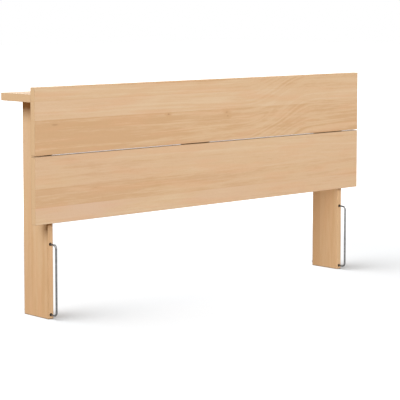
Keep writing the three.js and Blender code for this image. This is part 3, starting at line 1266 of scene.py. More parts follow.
@dataclass(frozen=True)
class MetalFinish:
    """Bare or plated metal, dull where it is tarnished and worn bright on its ridges."""

    name: str
    slot: str
    clean: Colour
    dull: Colour
    worn: Colour
    roughness: float
    line_depth: float
    pattern: Pattern = Pattern.OBJECT
    tarnish_levels: Span = (0.35, 0.7)
    wear_levels: Span = (0.52, 0.62)
    spot_share: float = 0.4
    wear_share: float = 0.7
    tarnish_roughness: float = 0.14
    line_roughness: float = 0.10
    wear_polish: float = 0.08
    tarnish_height: float = 0.6
    bump_strength: float = 0.5

    def material(self, effects: Effects) -> bpy.types.Material:
        """Makes the material.

        Args:
            effects: the shared node groups.

        Returns:
            The material.
        """
        material, wires, shader = fresh_material(self.name)
        if self.pattern is Pattern.ROD:
            place = wires.add("ShaderNodeAttribute", attribute_name=ROD_PLACE).outputs["Vector"]
        else:
            place = wires.add("ShaderNodeTexCoord").outputs["Object"]
        marks = wires.group(effects.metal, Place=place)
        dullness = wires.step(marks["Tarnish"], *self.tarnish_levels)
        colour = wires.mix(dullness, self.clean, self.dull)
        metallic: NodeFeed = 1.0
        # On the rod the arms are painted near black and not metallic, as shade where they go into the
        # leg's holes.
        if self.pattern is Pattern.ROD:
            arm_shade = self._painted_arm_shade(wires)
            colour = wires.mix(arm_shade, colour, ARM_SHADE_COLOUR)
            metallic = wires.math("SUBTRACT", 1.0, arm_shade)
        colour = wires.tint(colour, marks["Spots"], self.spot_share, self.dull)
        pointed = wires.add("ShaderNodeNewGeometry").outputs["Pointiness"]
        wear = wires.step(pointed, *self.wear_levels)
        colour = wires.tint(colour, wear, self.wear_share, self.worn)
        wires.feed(shader.inputs["Base Color"], colour)
        wires.feed(shader.inputs["Metallic"], metallic)
        lines = marks["Draw Lines"]
        rough = wires.math("MULTIPLY_ADD", dullness, self.tarnish_roughness, self.roughness)
        rough = wires.math("MULTIPLY_ADD", lines, self.line_roughness, rough)
        rough = wires.math("MULTIPLY_ADD", wear, -self.wear_polish, rough)
        wires.feed(shader.inputs["Roughness"], rough)
        height = wires.math("MULTIPLY_ADD", marks["Tarnish"], self.tarnish_height, lines)
        wires.bump(shader, height, self.bump_strength, self.line_depth)
        return material

    @staticmethod
    def _painted_arm_shade(wires: Wiring) -> NodeFeed:
        """Gives how much painted shade darkens the rod's arms, from 0 outside to 1 inside the leg's holes.
        """
        past_bend = wires.add("ShaderNodeAttribute", attribute_name=ARM_PLACE).outputs["Fac"]
        begun = wires.step(past_bend, *ARM_SHADE_BEGINS)
        return wires.math("SUBTRACT", begun, wires.step(past_bend, *ARM_SHADE_ENDS))


DRAWN_STEEL = MetalFinish(
    name="drawn steel",
    slot="steel_rod",
    clean=paint(116, 116, 116),
    dull=paint(98, 97, 96),
    worn=paint(150, 150, 149),
    roughness=0.34,
    line_depth=0.01 * MM,
    pattern=Pattern.ROD,
)
ZINC_PLATE = MetalFinish(
    name="zinc plate",
    slot="zinc_steel",
    clean=paint(176, 179, 182),
    dull=paint(140, 142, 144),
    worn=paint(206, 206, 204),
    roughness=0.30,
    line_depth=0.03 * MM,
)
TURNED_BRASS = MetalFinish(
    name="turned brass",
    slot="brass",
    clean=paint(196, 162, 96),
    dull=paint(150, 120, 66),
    worn=paint(222, 194, 130),
    roughness=0.34,
    line_depth=0.03 * MM,
)


# Wooden pieces


@dataclass
class Plank:
    """A plank of glued staves that stands for one node of the frame."""

    node: str
    timber: Timber
    edge_radius: float = 1.6 * MM
    edge_segments: int = 4
    sharp_degrees: float = 40.0
    clearance: float = 0.3 * MM
    end_slack: float = 1.0 * MM
    pin_easing: float = 0.3 * MM
    pin_sides: int = 24

    @property
    def box(self) -> Box:
        """The node's lowest and highest corner."""
        return box_of(self.node)

    def blank(self) -> bmesh.types.BMesh:
        """Makes the plank before any hole is drilled, with every edge eased."""
        low, high = self.box
        place = Matrix.LocRotScale(middle(self.box), None, high - low)
        shape = bmesh.new()
        bmesh.ops.create_cube(shape, size=1.0, matrix=place)
        bmesh.ops.bevel(
            shape,
            geom=shape.edges[:],
            offset=self.edge_radius,
            offset_type="OFFSET",
            segments=self.edge_segments,
            profile=0.5,
            affect="EDGES",
            material=-1,
        )
        return shape

    def bores(self) -> list[Bore]:
        """Lists the holes in the plank; a plain plank has none."""
        return []

    def wood(self) -> Timber:
        """Gives the plank's wood."""
        return self.timber

    def pin_bore(self, pin: Box, axis: Vector, mouth: float, end: float) -> Bore:
        """Lays out the hole for a dowel or an insert.

        Args:
            pin: the pin's box.
            axis: the pin's direction, along Y or Z.
            mouth: where the hole opens, on that axis.
            end: where the pin ends, on that axis.

        Returns:
            The hole, with the clearance round the pin and the slack past its end.
        """
        size = pin[1] - pin[0]
        centre = middle(pin)
        opening = centre - axis * (centre.dot(axis) - mouth)
        inwards = axis if end > mouth else -axis
        return Bore(
            mouth=opening,
            inwards=inwards,
            depth=abs(end - mouth) + self.end_slack,
            diameter=size.x + 2 * self.clearance,
            easing=self.pin_easing,
            sides=self.pin_sides,
        )

    def build(self, finish: BeechFinish) -> bpy.types.Object:
        """Makes, drills, dresses and places the plank.

        Args:
            finish: the wood's finish.

        Returns:
            The finished piece.
        """
        shape = self.blank()
        bores = self.bores()
        if bores:
            cutters = joined(bore.cutter() for bore in bores)
            shape = combine(self.node, shape, cutters, Join.CUT)
        name = f"{finish.slot} {self.node.replace('_', ' ')}"
        wood = finish.material(name, self.box, self.wood())
        thing = dressed(f"{self.node}_plank", shape, self.sharp_degrees, wood)
        settle(thing, HEADBOARD_BODY, [self.node])
        return thing


@dataclass
class Board(Plank):
    """One of the two boards, with holes in its back for inserts and for the shelf's dowels."""

    def bores(self) -> list[Bore]:
        """Lists the holes for the inserts and edge dowels that reach into this board."""
        low, high = self.box
        back = high.y
        found = []
        for pin in (*boxes_of("insert").values(), *boxes_of("edge_dowel").values()):
            if low.z < middle(pin).z < high.z:
                found.append(self.pin_bore(pin, Y_AXIS, back, pin[0].y))
        return found


@dataclass
class Shelf(Plank):
    """The shelf, with dowel holes in its front edge and in its underside."""

    def bores(self) -> list[Bore]:
        """Lists the holes for the edge dowels and for the uprights' dowels."""
        low = self.box[0]
        found = [self.pin_bore(pin, Y_AXIS, low.y, pin[1].y) for pin in boxes_of("edge_dowel").values()]
        for name, pin in boxes_of("dowel").items():
            if "edge" not in name:
                found.append(self.pin_bore(pin, Z_AXIS, low.z, pin[1].z))
        return found


@dataclass
class Upright(Plank):
    """A leg or the centre support, drilled for its bolts and dowels, and on a leg for its bow."""

    bow: str | None = None
    bolt_hole: float = 7 * MM
    counterbore: float = 12 * MM
    bow_hole: float = 12 * MM
    bow_hole_beyond_arm: float = 16 * MM
    bow_hole_sides: int = 40
    easing: float = 0.5 * MM

    def bores(self) -> list[Bore]:
        """Lists the holes of the upright."""
        low, high = self.box
        depth = high.y - low.y
        found = []
        for name, bolt in boxes_of("bolt").items():
            if name.startswith(self.node):
                found.append(
                    Bore(
                        mouth=Vector((middle(bolt).x, high.y, middle(bolt).z)),
                        inwards=-Y_AXIS,
                        depth=depth,
                        diameter=self.bolt_hole,
                        easing=self.easing,
                        counterbore=self.counterbore,
                        counterbore_depth=high.y - (bolt[1].y - Screw.head_height),
                        through=True,
                    )
                )
        for name, pin in boxes_of("dowel").items():
            if name.startswith(self.node):
                found.append(self.pin_bore(pin, Z_AXIS, high.z, pin[0].z))
        if self.bow:
            found.extend(self.bow_bores(low.y, depth))
        return found

    def wood(self) -> Timber:
        """Gives the upright's wood, on a leg with painted shade on the walls of the bow's holes."""
        if not self.bow:
            return self.timber
        rod = ClampBow(self.bow)
        return replace(self.timber, holes=((rod.upper_height, rod.x), (rod.lower_height, rod.x)))

    def bow_bores(self, front: float, depth: float) -> list[Bore]:
        """Lists the two holes that a bow's arms go into.

        Args:
            front: Y of the leg's front edge.
            depth: depth of the leg from front to back.

        Returns:
            A blind hole for the upper arm and a hole right through for the lower arm.
        """
        rod = ClampBow(self.bow)
        upper = Bore(
            mouth=Vector((rod.x, front, rod.upper_height)),
            inwards=Y_AXIS,
            depth=rod.upper_arm_end - front + self.bow_hole_beyond_arm,
            diameter=self.bow_hole,
            easing=self.easing,
            sides=self.bow_hole_sides,
        )
        lower = Bore(
            mouth=Vector((rod.x, front, rod.lower_height)),
            inwards=Y_AXIS,
            depth=depth,
            diameter=self.bow_hole,
            easing=self.easing,
            through=True,
            sides=self.bow_hole_sides,
        )
        return [upper, lower]


# Steel pieces


@dataclass
class Screw:
    """A cap screw with a knurled head and a hexagon socket, lying along Y in an upright."""

    node: str
    shank_diameter: float = 6 * MM
    head_height: float = 6 * MM
    socket_width: float = 5 * MM
    socket_depth: float = 3 * MM
    chamfer: float = 0.8 * MM
    neck_fillet: float = 0.3 * MM
    knurl_depth: float = 0.18 * MM
    knurl_teeth: int = 36
    point_steepness: float = 0.3
    sharp_degrees: float = 35.0

    def build(self, metal: bpy.types.Material, slot: str) -> bpy.types.Object:
        """Makes the screw in its place.

        Args:
            metal: its material.
            slot: not used.

        Returns:
            The finished piece.
        """
        low, high = box_of(self.node)
        centre = middle((low, high))
        tip = Vector((centre.x, low.y, centre.z))
        length = high.y - low.y
        body = self._turned_body(tip, length, high.x - low.x)
        shape = combine(self.node, body, self._socket(tip, length), Join.CUT)
        thing = dressed(f"{self.node}_screw", shape, self.sharp_degrees, metal)
        settle(thing, HEADBOARD_BODY, [self.node])
        return thing

    def _turned_body(self, tip: Vector, length: float, head_diameter: float) -> bmesh.types.BMesh:
        """Turns the shank and head and cuts the knurl into the head's side."""
        shank = self.shank_diameter / 2
        head = head_diameter / 2
        under_head = length - self.head_height
        edge = self.chamfer / 2
        profile = [
            (0.0, 0.0),
            (shank - self.chamfer, 0.0),
            (shank, self.chamfer),
            (shank, under_head - self.neck_fillet),
            (shank + self.neck_fillet, under_head),
            (head - edge, under_head),
            (head, under_head + edge),
            (head, length - self.chamfer),
            (head - edge, length - edge / 3),
            (head - self.chamfer, length),
            (0.0, length),
        ]
        shape = turned(profile, tip, Y_AXIS, 2 * self.knurl_teeth)
        for vertex in shape.verts:
            spoke = Vector((vertex.co.x - tip.x, 0.0, vertex.co.z - tip.z))
            if spoke.length < head - SAME_PLACE:
                continue
            step = round(math.atan2(spoke.z, spoke.x) / (math.pi / self.knurl_teeth))
            if step % 2:
                vertex.co -= spoke.normalized() * self.knurl_depth
        return shape

    def _socket(self, tip: Vector, length: float) -> bmesh.types.BMesh:
        """Makes the cutter of the hexagon socket, with a drill point."""
        corner = self.socket_width / 2 / math.cos(TWELFTH_TURN)
        overshoot = 1 * MM
        depth = self.socket_depth + overshoot
        centre = tip + Y_AXIS * (length - self.socket_depth + depth / 2)
        place = lying_along_y(centre)
        shape = bmesh.new()
        bmesh.ops.create_cone(
            shape, cap_ends=True, segments=6, radius1=corner, radius2=corner, depth=depth, matrix=place
        )
        bottom = min(shape.faces, key=lambda face: face.calc_center_median().y)
        bmesh.ops.poke(shape, faces=[bottom], offset=self.point_steepness * corner)
        return shape


@dataclass
class ClampBow:
    """A rod bent to a U in front of a leg, its lower arm threaded and held by a washer and a nut.

    crest_end, root_start and root_end shape the thread, as shares of its pitch. round_share is how
    far the middle of a rounded edge lies inside, and nut_face is how far the nut's flat ends reach
    towards its sides, both as shares.
    """

    node: str
    rod_diameter: float = 8 * MM
    bend_radius: float = 14 * MM
    thread_length: float = 38 * MM
    thread_pitch: float = 1.25 * MM
    thread_depth: float = 0.74 * MM
    thread_slack: float = 0.02 * MM
    thread_weld: float = 0.01 * MM
    crest_end: float = 0.14
    root_start: float = 0.5
    root_end: float = 0.64
    tip_chamfer: float = 1.0 * MM
    sides: int = 32
    bend_steps: int = 16
    rod_sharp_degrees: float = 50.0
    nut_bore: float = 8.2 * MM
    nut_easing: float = 0.5 * MM
    nut_face: float = 0.96
    nut_slope: float = math.radians(30)
    nut_sides: int = 60
    nut_bore_sides: int = 40
    nut_sharp_degrees: float = 32.0
    washer_bore: float = 8.6 * MM
    washer_edge: float = 0.3 * MM
    round_share: float = 0.3
    washer_sides: int = 56

    @property
    def box(self) -> Box:
        """The bow's lowest and highest corner."""
        return box_of(self.node)

    @property
    def x(self) -> float:
        """X of the bow's plane."""
        return middle(self.box).x

    @property
    def upper_height(self) -> float:
        """Height of the upper arm's centre line."""
        return self.box[1].z - self.rod_diameter / 2

    @property
    def lower_height(self) -> float:
        """Height of the lower arm's centre line."""
        return self.box[0].z + self.rod_diameter / 2

    @property
    def upper_arm_end(self) -> float:
        """Y where the upper arm ends in its hole, read from the node's own vertices."""
        points = frame["nodes"][self.node].data.vertices
        halfway = (self.upper_height + self.lower_height) / 2
        return max(point.co.y for point in points if point.co.z > halfway)

    def build(
        self, rod_metal: bpy.types.Material, plated: bpy.types.Material
    ) -> list[bpy.types.Object]:
        """Makes the bow, its washer and its nut.

        Args:
            rod_metal: material of the rod.
            plated: material of the washer and the nut.

        Returns:
            The three finished pieces.
        """
        return [self._build_rod(rod_metal), self._build_washer(plated), self._build_nut(plated)]

    def _build_rod(self, metal: bpy.types.Material) -> bpy.types.Object:
        """Makes the rod with its thread."""
        shape = combine(self.node, self._bent_rod(), self._thread(), Join.ADD)
        thing = dressed(f"{self.node}_rod", shape, self.rod_sharp_degrees, metal)
        self._mark_places(thing.data)
        settle(thing, self.node, [self.node])
        return thing

    def _bent_rod(self) -> bmesh.types.BMesh:
        """Draws a disc along the bow's line, from the upper arm's end to the start of the thread."""
        low, high = self.box
        bar_y = low.y + self.rod_diameter / 2
        bend_y = bar_y + self.bend_radius
        upper_bend = Vector((self.x, bend_y, self.upper_height - self.bend_radius))
        lower_bend = Vector((self.x, bend_y, self.lower_height + self.bend_radius))
        start = Vector((self.x, self.upper_arm_end, self.upper_height))
        thread_start = high.y - self.thread_length + self.thread_pitch / 2
        radius, place = self.rod_diameter / 2, lying_along_y(start)
        shape = bmesh.new()
        made = bmesh.ops.create_circle(
            shape, cap_ends=True, segments=self.sides, radius=radius, matrix=place
        )
        end = made["verts"][0].link_faces[0]
        end = self._draw(shape, end, Y_AXIS * (bend_y - start.y))
        end = self._bend(shape, end, upper_bend)
        end = self._draw(shape, end, Z_AXIS * (lower_bend.z - upper_bend.z))
        end = self._bend(shape, end, lower_bend)
        self._draw(shape, end, Y_AXIS * (thread_start - bend_y))
        bmesh.ops.recalc_face_normals(shape, faces=shape.faces[:])
        upper_rim = [
            edge
            for edge in shape.edges
            if all((corner.co - start).length < radius + SAME_PLACE for corner in edge.verts)
            and all(abs(corner.co.y - start.y) < SAME_PLACE for corner in edge.verts)
        ]
        bmesh.ops.bevel(
            shape,
            geom=upper_rim,
            offset=self.tip_chamfer / 2,
            offset_type="OFFSET",
            segments=2,
            profile=0.5,
            affect="EDGES",
            material=-1,
        )
        return shape

    @staticmethod
    def _draw(shape: bmesh.types.BMesh, end: bmesh.types.BMFace, way: Vector) -> bmesh.types.BMFace:
        """Draws the end face straight on and returns the new end face."""
        made = bmesh.ops.extrude_face_region(shape, geom=[end])
        corners = [item for item in made["geom"] if isinstance(item, bmesh.types.BMVert)]
        bmesh.ops.translate(shape, verts=corners, vec=way)
        return next(item for item in made["geom"] if isinstance(item, bmesh.types.BMFace))

    def _bend(
        self, shape: bmesh.types.BMesh, end: bmesh.types.BMFace, centre: Vector
    ) -> bmesh.types.BMFace:
        """Bends the rod a quarter turn round a centre and returns the new end face."""
        made = bmesh.ops.spin(
            shape,
            geom=[end],
            cent=centre,
            axis=X_AXIS,
            angle=QUARTER_TURN,
            steps=self.bend_steps,
            use_merge=False,
        )
        return next(item for item in made["geom_last"] if isinstance(item, bmesh.types.BMFace))

    def _thread(self) -> bmesh.types.BMesh:
        """Makes the threaded end: a zigzag line swept once round and one pitch on."""
        tip = self.box[1].y
        start = tip - self.thread_length
        axis_point = Vector((self.x, start, self.lower_height))
        crest = self.rod_diameter / 2 - self.thread_slack
        root = crest - self.thread_depth
        zigzag = ((0.0, crest), (self.crest_end, crest), (self.root_start, root), (self.root_end, root))
        turns = math.ceil(self.thread_length / self.thread_pitch) + 2
        shape = bmesh.new()
        line = []
        for turn in range(turns):
            y = start + (turn - 1) * self.thread_pitch
            for share, radius in zigzag:
                point = Vector((self.x, y + share * self.thread_pitch, self.lower_height + radius))
                line.append(shape.verts.new(point))
        edges = [shape.edges.new(pair) for pair in zip(line, line[1:])]
        bmesh.ops.spin(
            shape,
            geom=line + edges,
            cent=axis_point,
            axis=Y_AXIS,
            dvec=Y_AXIS * (self.thread_pitch / self.sides),
            angle=math.tau,
            steps=self.sides,
            use_merge=False,
        )
        bmesh.ops.remove_doubles(shape, verts=shape.verts[:], dist=self.thread_weld)
        for y, outer in ((start, False), (tip, True)):
            cut = bmesh.ops.bisect_plane(
                shape,
                geom=shape.verts[:] + shape.edges[:] + shape.faces[:],
                plane_co=Vector((0.0, y, 0.0)),
                plane_no=Y_AXIS,
                clear_outer=outer,
                clear_inner=not outer,
            )
            rim = [item for item in cut["geom_cut"] if isinstance(item, bmesh.types.BMEdge)]
            bmesh.ops.edgeloop_fill(shape, edges=rim)
        for vertex in shape.verts:
            allowed = root + max(0.0, tip - vertex.co.y) * (crest - root) / self.tip_chamfer
            spoke = Vector((vertex.co.x - self.x, 0.0, vertex.co.z - self.lower_height))
            if spoke.length > allowed:
                vertex.co -= spoke.normalized() * (spoke.length - allowed)
        bmesh.ops.recalc_face_normals(shape, faces=shape.faces[:])
        return shape

    def _mark_places(self, mesh: bpy.types.Mesh) -> None:
        """Writes how far along and round the rod each vertex lies, and how far along its arm."""
        bar_y = self.box[0].y + self.rod_diameter / 2
        bend_y = bar_y + self.bend_radius
        halfway = (self.upper_height + self.lower_height) / 2
        bar_end = self.upper_height - self.bend_radius - halfway
        places = []
        arms = []
        for vertex in mesh.vertices:
            y, height = vertex.co.y, abs(vertex.co.z - halfway)
            past_bar, past_bend = height - bar_end, y - bend_y
            if past_bend >= 0.0:
                along = bar_end + self.bend_radius * QUARTER_TURN + past_bend
                out = past_bar - self.bend_radius
            elif past_bar >= 0.0:
                along = bar_end + self.bend_radius * math.atan2(past_bar, -past_bend)
                out = math.hypot(past_bar, past_bend) - self.bend_radius
            else:
                along, out = height, bar_y - y
            places.extend((math.copysign(along, vertex.co.z - halfway), out, vertex.co.x - self.x))
            arms.append(max(0.0, past_bend))
        mesh.attributes.new(ROD_PLACE, "FLOAT_VECTOR", "POINT").data.foreach_set("vector", places)
        mesh.attributes.new(ARM_PLACE, "FLOAT", "POINT").data.foreach_set("value", arms)

    def _build_washer(self, metal: bpy.types.Material) -> bpy.types.Object:
        """Turns the washer."""
        node = f"{self.node}_washer"
        low, high = box_of(node)
        inner = self.washer_bore / 2
        outer = (high.x - low.x) / 2
        thick = high.y - low.y
        edge, corner = self.washer_edge, self.round_share * self.washer_edge
        profile = [
            (inner, edge / 2),
            (inner + edge / 2, 0.0),
            (outer - edge, 0.0),
            (outer - corner, corner),
            (outer, edge),
            (outer, thick - edge),
            (outer - corner, thick - corner),
            (outer - edge, thick),
            (inner + edge / 2, thick),
            (inner, thick - edge / 2),
        ]
        start = Vector((self.x, low.y, self.lower_height))
        shape = turned(profile, start, Y_AXIS, self.washer_sides, ring=True)
        thing = dressed(f"{node}_disc", shape, self.rod_sharp_degrees, metal)
        settle(thing, HEADBOARD_BODY, [node])
        return thing

    def _build_nut(self, metal: bpy.types.Material) -> bpy.types.Object:
        """Makes the hexagon nut: a prism with its corners turned off, bored and countersunk."""
        node = f"{self.node}_nut"
        low, high = box_of(node)
        thick = high.y - low.y
        corner = max(high.x - low.x, high.z - low.z) / 2
        start = Vector((self.x, low.y, self.lower_height))
        shape = bmesh.new()
        place = lying_along_y(start + Y_AXIS * thick / 2)
        if high.z - low.z > high.x - low.x:
            place = place @ Matrix.Rotation(TWELFTH_TURN, 4, "Z")
        bmesh.ops.create_cone(
            shape, cap_ends=True, segments=6, radius1=corner, radius2=corner, depth=thick, matrix=place
        )
        waist = corner * math.cos(TWELFTH_TURN) * self.nut_face
        slope = math.tan(self.nut_slope) * (corner - waist)
        profile = [
            (0.0, 0.0),
            (waist, 0.0),
            (corner, slope),
            (corner, thick - slope),
            (waist, thick),
            (0.0, thick),
        ]
        rounded = turned(profile, start, Y_AXIS, self.nut_sides)
        shape = combine(node, shape, rounded, Join.KEEP_COMMON)
        bore = Bore(
            mouth=start,
            inwards=Y_AXIS,
            depth=thick,
            diameter=self.nut_bore,
            easing=self.nut_easing,
            through=True,
            sides=self.nut_bore_sides,
        )
        shape = combine(node, shape, bore.cutter(), Join.CUT)
        thing = dressed(f"{node}_hexagon", shape, self.nut_sharp_degrees, metal)
        settle(thing, self.node.replace("_bow", "_nut"), [node])
        return thing


@dataclass
class HiddenFittings:
    """The inserts and dowels inside the wood, which keep their own shapes."""

    def dress(self, wood: bpy.types.Material, brass: bpy.types.Material) -> None:
        """Gives each hidden fitting its material.

        Args:
            wood: material of the dowels.
            brass: material of the inserts.
        """
        for kind, material in (("dowel", wood), ("insert", brass)):
            for name in boxes_of(kind):
                for place in frame["nodes"][name].material_slots:
                    place.material = material
                LOG.info("%s keeps its own shape", name)


# Studio


@dataclass(frozen=True)
class Softbox:
    """A large soft lamp that faces the middle of the headboard.

    level is how bright a surface that faces it squarely comes out, as a share of its own colour.
    azimuth is counted from the front towards the left end of the boards.
    """

    name: str
    azimuth: float
    elevation: float
    level: float
    distance: float = 12.0
    size: float = 6.0

    def build(self, target: Vector) -> bpy.types.Object:
        """Hangs the lamp.

        Args:
            target: the point that it faces.

        Returns:
            The lamp.
        """
        azimuth, elevation = math.radians(self.azimuth), math.radians(self.elevation)
        away = Vector(
            (
                -math.sin(azimuth) * math.cos(elevation),
                -math.cos(azimuth) * math.cos(elevation),
                math.sin(elevation),
            )
        )
        light = bpy.data.lights.new(self.name, "AREA")
        light.shape = "DISK"
        light.size = self.size
        light.energy = self.level * (math.pi * self.distance) ** 2
        lamp = bpy.data.objects.new(self.name, light)
        lamp.location = target + away * self.distance
        lamp.rotation_euler = away.to_track_quat("Z", "Y").to_euler()
        bpy.context.scene.collection.objects.link(lamp)
        return lamp


@dataclass
class Studio:
    """The white room round the headboard, with its lamps and the camera."""

    key: Softbox = Softbox("key", 71.0, 33.0, level=1.01, distance=24.0, size=14.0)
    front: Softbox = Softbox("front", -12.0, 24.0, level=0.67)
    side: Softbox = Softbox("side", 82.0, 9.0, level=0.03)
    back: Softbox = Softbox("back", 215.0, 26.0, level=0.70)
    right_key: Softbox = replace(key, name="key for the right leg", level=0.54)
    right_side: Softbox = Softbox("side for the right leg", 78.0, 9.0, level=0.47)
    floor_lamp: Softbox = Softbox("floor lamp", 130.0, 60.0, level=2.50, distance=40.0, size=43.0)
    fill: float = 0.05
    fill_colour: Colour = (1.0, 0.72, 0.42, 1.0)
    floor_colour: Colour = (0.39, 0.40, 0.41, 1.0)
    floor_size: float = 60.0
    floor_squares: int = 8
    floor_drop: float = 0.2 * MM
    floor_glow: float = 0.34
    floor_fade: Span = (1.4, 3.0)
    bounce: Colour = paint(108, 82, 46)
    camera_location: tuple[float, float, float] = (-4.3554, -4.6839, 1.1924)
    camera_yaw: float = 43.094
    camera_pitch: float = 5.066
    camera_lens: float = 139.771
    camera_sensor: float = 36.0
    camera_shift: float = -0.15

    def build(self, standing: Sequence[bpy.types.Object]) -> None:
        """Sets up the camera, the world, the floor and the lamps.

        Args:
            standing: the pieces that cast their shadow on the floor.
        """
        bpy.context.scene.view_settings.view_transform = "Standard"
        self._camera()
        self._world()
        floor = self._floor()
        right = [thing for thing in standing if thing.name.startswith("right")]
        wood = [thing for thing in bpy.data.objects if thing.name.endswith("_board_plank")]
        bows = [thing for thing in standing if "bow" in thing.name]
        all_but_floor = self._group("all but the floor", [floor], "EXCLUDE")
        all_but_right = self._group("all but the floor and the right leg", [floor, *right], "EXCLUDE")
        only_right = self._group("the right leg and its bow", right, "INCLUDE")
        only_floor = self._group("the floor", [floor], "INCLUDE")
        all_but_boards = self._group("all but the boards", wood, "EXCLUDE")
        all_but_bows = self._group("all but the bows", bows, "EXCLUDE")
        legs = self._group("what stands on the floor", standing, "INCLUDE")
        self._hang(self.key, all_but_right, None)
        self._hang(self.front, all_but_floor, all_but_bows)
        self._hang(self.side, all_but_floor, None)
        self._hang(self.back, all_but_floor, None)
        self._hang(self.right_key, only_right, all_but_boards)
        self._hang(self.right_side, only_right, None)
        self._hang(self.floor_lamp, only_floor, legs)
        LOG.info("studio: floor, camera and lamps")

    @staticmethod
    def _hang(
        box: Softbox, lit: bpy.types.Collection, blockers: bpy.types.Collection | None
    ) -> None:
        """Hangs a lamp and sets what it lights and what stands in its way."""
        lamp = box.build(middle(CAD_BOX))
        lamp.light_linking.receiver_collection = lit
        lamp.light_linking.blocker_collection = blockers

    @staticmethod
    def _group(name: str, things: Sequence[bpy.types.Object], state: str) -> bpy.types.Collection:
        """Makes a group of objects that a lamp lights or is stopped by.

        Args:
            name: the group's name.
            things: the objects.
            state: INCLUDE for these objects, EXCLUDE for all others.

        Returns:
            The group.
        """
        group = bpy.data.collections.new(name)
        for thing in things:
            group.objects.link(thing)
        for member in group.collection_objects:
            member.light_linking.link_state = state
        return group

    def _camera(self) -> None:
        """Places the camera where the picture is taken from."""
        data = bpy.data.cameras.new("camera")
        data.sensor_width = self.camera_sensor
        data.lens = self.camera_lens
        data.shift_y = self.camera_shift
        camera = bpy.data.objects.new("camera", data)
        camera.location = self.camera_location
        camera.rotation_euler = (
            math.radians(90.0 - self.camera_pitch),
            0.0,
            math.radians(-self.camera_yaw),
        )
        bpy.context.scene.collection.objects.link(camera)
        bpy.context.scene.camera = camera

    @staticmethod
    def _seen(wires: Wiring) -> bpy.types.NodeSocket:
        """Gives 1 for rays that show the surroundings: the camera's, reflected and passed on."""
        path = wires.add("ShaderNodeLightPath").outputs
        mirrored = wires.math("MAXIMUM", path["Is Glossy Ray"], path["Is Transmission Ray"])
        return wires.math("MAXIMUM", path["Is Camera Ray"], mirrored)

    def _world(self) -> None:
        """Makes a world that looks white and lights the object a little."""
        world = bpy.data.worlds.new("white room")
        bpy.context.scene.world = world
        world.use_nodes = True
        world.node_tree.nodes.clear()
        wires = Wiring(world.node_tree)
        seen = self._seen(wires)
        background = wires.add("ShaderNodeBackground")
        wires.feed(background.inputs["Color"], wires.mix(seen, self.fill_colour, WHITE))
        wires.feed(background.inputs["Strength"], wires.step(seen, 0.0, 1.0, self.fill, 1.0))
        output = wires.add("ShaderNodeOutputWorld")
        wires.feed(output.inputs["Surface"], background.outputs[0])

    def _floor(self) -> bpy.types.Object:
        """Makes the floor: white where it is seen, with the object's soft shadow on it."""
        shape = bmesh.new()
        bmesh.ops.create_grid(
            shape,
            x_segments=self.floor_squares,
            y_segments=self.floor_squares,
            size=self.floor_size / 2,
            matrix=Matrix.Translation(Z_AXIS * -self.floor_drop),
        )
        floor = to_object("studio_floor", shape)
        material, wires, shader = fresh_material("white floor")
        shader.inputs["Roughness"].default_value = 1.0
        shader.inputs["Specular IOR Level"].default_value = 0.0
        seen = self._seen(wires)
        wires.feed(shader.inputs["Base Color"], wires.mix(seen, self.bounce, self.floor_colour))
        shader.inputs["Emission Color"].default_value = WHITE
        from_centre = wires.length(wires.add("ShaderNodeTexCoord").outputs["Object"])
        glow = wires.step(from_centre, *self.floor_fade, self.floor_glow, 1.0)
        wires.feed(shader.inputs["Emission Strength"], wires.math("MULTIPLY", seen, glow))
        floor.data.materials.append(material)
        return floor


# Assembly


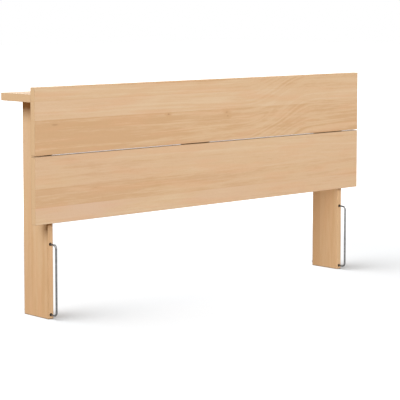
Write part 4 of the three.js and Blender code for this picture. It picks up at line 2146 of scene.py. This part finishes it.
def planks() -> list[Plank]:
    """Lists the wooden pieces with the staves that they are glued up from.

    Returns:
        The two boards, the shelf and the three uprights.
    """
    upper_board = Board(
        "upper_board",
        Timber(
            grain=Grain.ALONG_X,
            staves=(
                Stave(0.626, (0.98, 0.72), (0.10, 0.10), pith=(0.700, -0.110), lean=0.012, seed=3.1),
                Stave(0.756, (0.28, 0.32), (0.30, 0.10), pith=(0.700, -0.110), lean=0.012, seed=3.1),
                Stave(0.828, (0.42, 0.52), (0.10, 0.05), pith=(0.700, -0.110), lean=0.012, seed=3.1),
            ),
            knots=(
                Knot(-0.806, 0.737, 4.6 * MM, stretch=0.20, depth=0.26),
                Knot(-0.236, 0.749, 4.2 * MM, stretch=0.60, depth=0.42),
                Knot(0.086, 0.742, 3.4 * MM, stretch=0.40, depth=0.32),
                Knot(0.092, 0.726, 3.4 * MM, stretch=0.40, depth=0.32),
            ),
            climb=Climb(start=0.18, end=0.62, rise=0.125),
            # Painted shade along its lower edge in the gap between the boards.
            shaded_rims=(0.6253,),
            rim_shade=0.18,
            figure=1.3,
            patches=1.8,
            amber=0.12,
        ),
    )
    lower_board = Board(
        "lower_board",
        Timber(
            grain=Grain.ALONG_X,
            staves=(
                Stave(0.367, (0.36, 0.48), (1.00, 0.35), pith=(0.300, -0.080), lean=0.006, seed=12.9),
                Stave(0.430, (0.84, 0.62), (0.20, 0.20), pith=(0.520, -0.120), lean=0.014, seed=18.3),
                Stave(0.500, (0.60, 0.38), (0.35, 0.15), pith=(0.520, -0.120), lean=0.014, seed=18.3),
            ),
            knots=(Knot(-0.612, 0.487, 3.6 * MM, stretch=0.35, depth=0.14),),
            # Painted shade along its top edge in the gap between the boards.
            shaded_rims=(0.6217,),
            rim_shade=0.38,
            patches=1.4,
            amber=0.10,
        ),
    )
    shelf = Shelf(
        "shelf",
        Timber(
            grain=Grain.ALONG_X,
            staves=(Stave(0.823, (0.45, 0.35), (0.30, 0.20), pith=(0.78, -0.03), lean=0.008, seed=23.7),),
            # Faint painted shade on its eased edges, and faintly darker end-grain edges.
            edge_shade=0.05,
            end_stain_and_shade=0.05,
        ),
    )
    left_leg = Upright(
        "left_leg",
        Timber(
            grain=Grain.ALONG_Z,
            staves=(
                Stave(-0.0725, (0.90, 0.35), (0.10, 0.10), pith=(-0.010, -0.900), lean=0.010, seed=31.2),
                Stave(0.0285, (0.85, 0.35), (0.25, 0.40), pith=(0.060, -0.880), lean=-0.014, seed=37.9),
            ),
            amber=0.35,
            # Strong painted shade on its eased edges; at its foot darker end grain and painted shade where
            # it stands on the floor.
            edge_shade=0.9,
            end_stain_and_shade=0.9,
        ),
        bow="left_bow",
    )
    right_leg = Upright(
        "right_leg",
        Timber(
            grain=Grain.ALONG_Z,
            staves=(
                Stave(-0.0725, (0.65, 0.60), (0.10, 0.10), pith=(-0.020, 0.740), lean=0.012, seed=43.3),
                Stave(0.0335, (1.10, 1.00), (0.20, 0.30), pith=(0.050, 0.750), lean=0.010, seed=49.8),
            ),
            amber=0.45,
            # Painted shade on its eased edges; at its foot darker end grain and painted shade where it
            # stands on the floor.
            edge_shade=0.3,
            end_stain_and_shade=0.9,
        ),
        bow="right_bow",
    )
    centre_support = Upright(
        "centre_support",
        Timber(
            grain=Grain.ALONG_Z,
            staves=(Stave(-0.0725, (0.50, 0.55), (0.30, 0.20), pith=(0.0, -0.08), lean=0.012, seed=57.1),),
        ),
    )
    return [upper_board, lower_board, shelf, left_leg, right_leg, centre_support]


def main() -> None:
    """Builds the studio and every piece of the headboard."""
    logging.basicConfig(level=logging.INFO, format="%(message)s")
    effects = Effects()
    beech = BeechFinish(effects)
    standing = []
    for plank in planks():
        piece = plank.build(beech)
        if isinstance(plank, Upright) and plank.bow:
            standing.append(piece)
    zinc = ZINC_PLATE.material(effects)
    for node in boxes_of("bolt"):
        Screw(node).build(zinc, ZINC_PLATE.slot)
    steel = DRAWN_STEEL.material(effects)
    for node in ("left_bow", "right_bow"):
        standing.extend(ClampBow(node).build(steel, zinc))
    HiddenFittings().dress(DowelFinish(effects).material(), TURNED_BRASS.material(effects))
    Studio().build(standing)


if __name__ == "__main__":
    main()
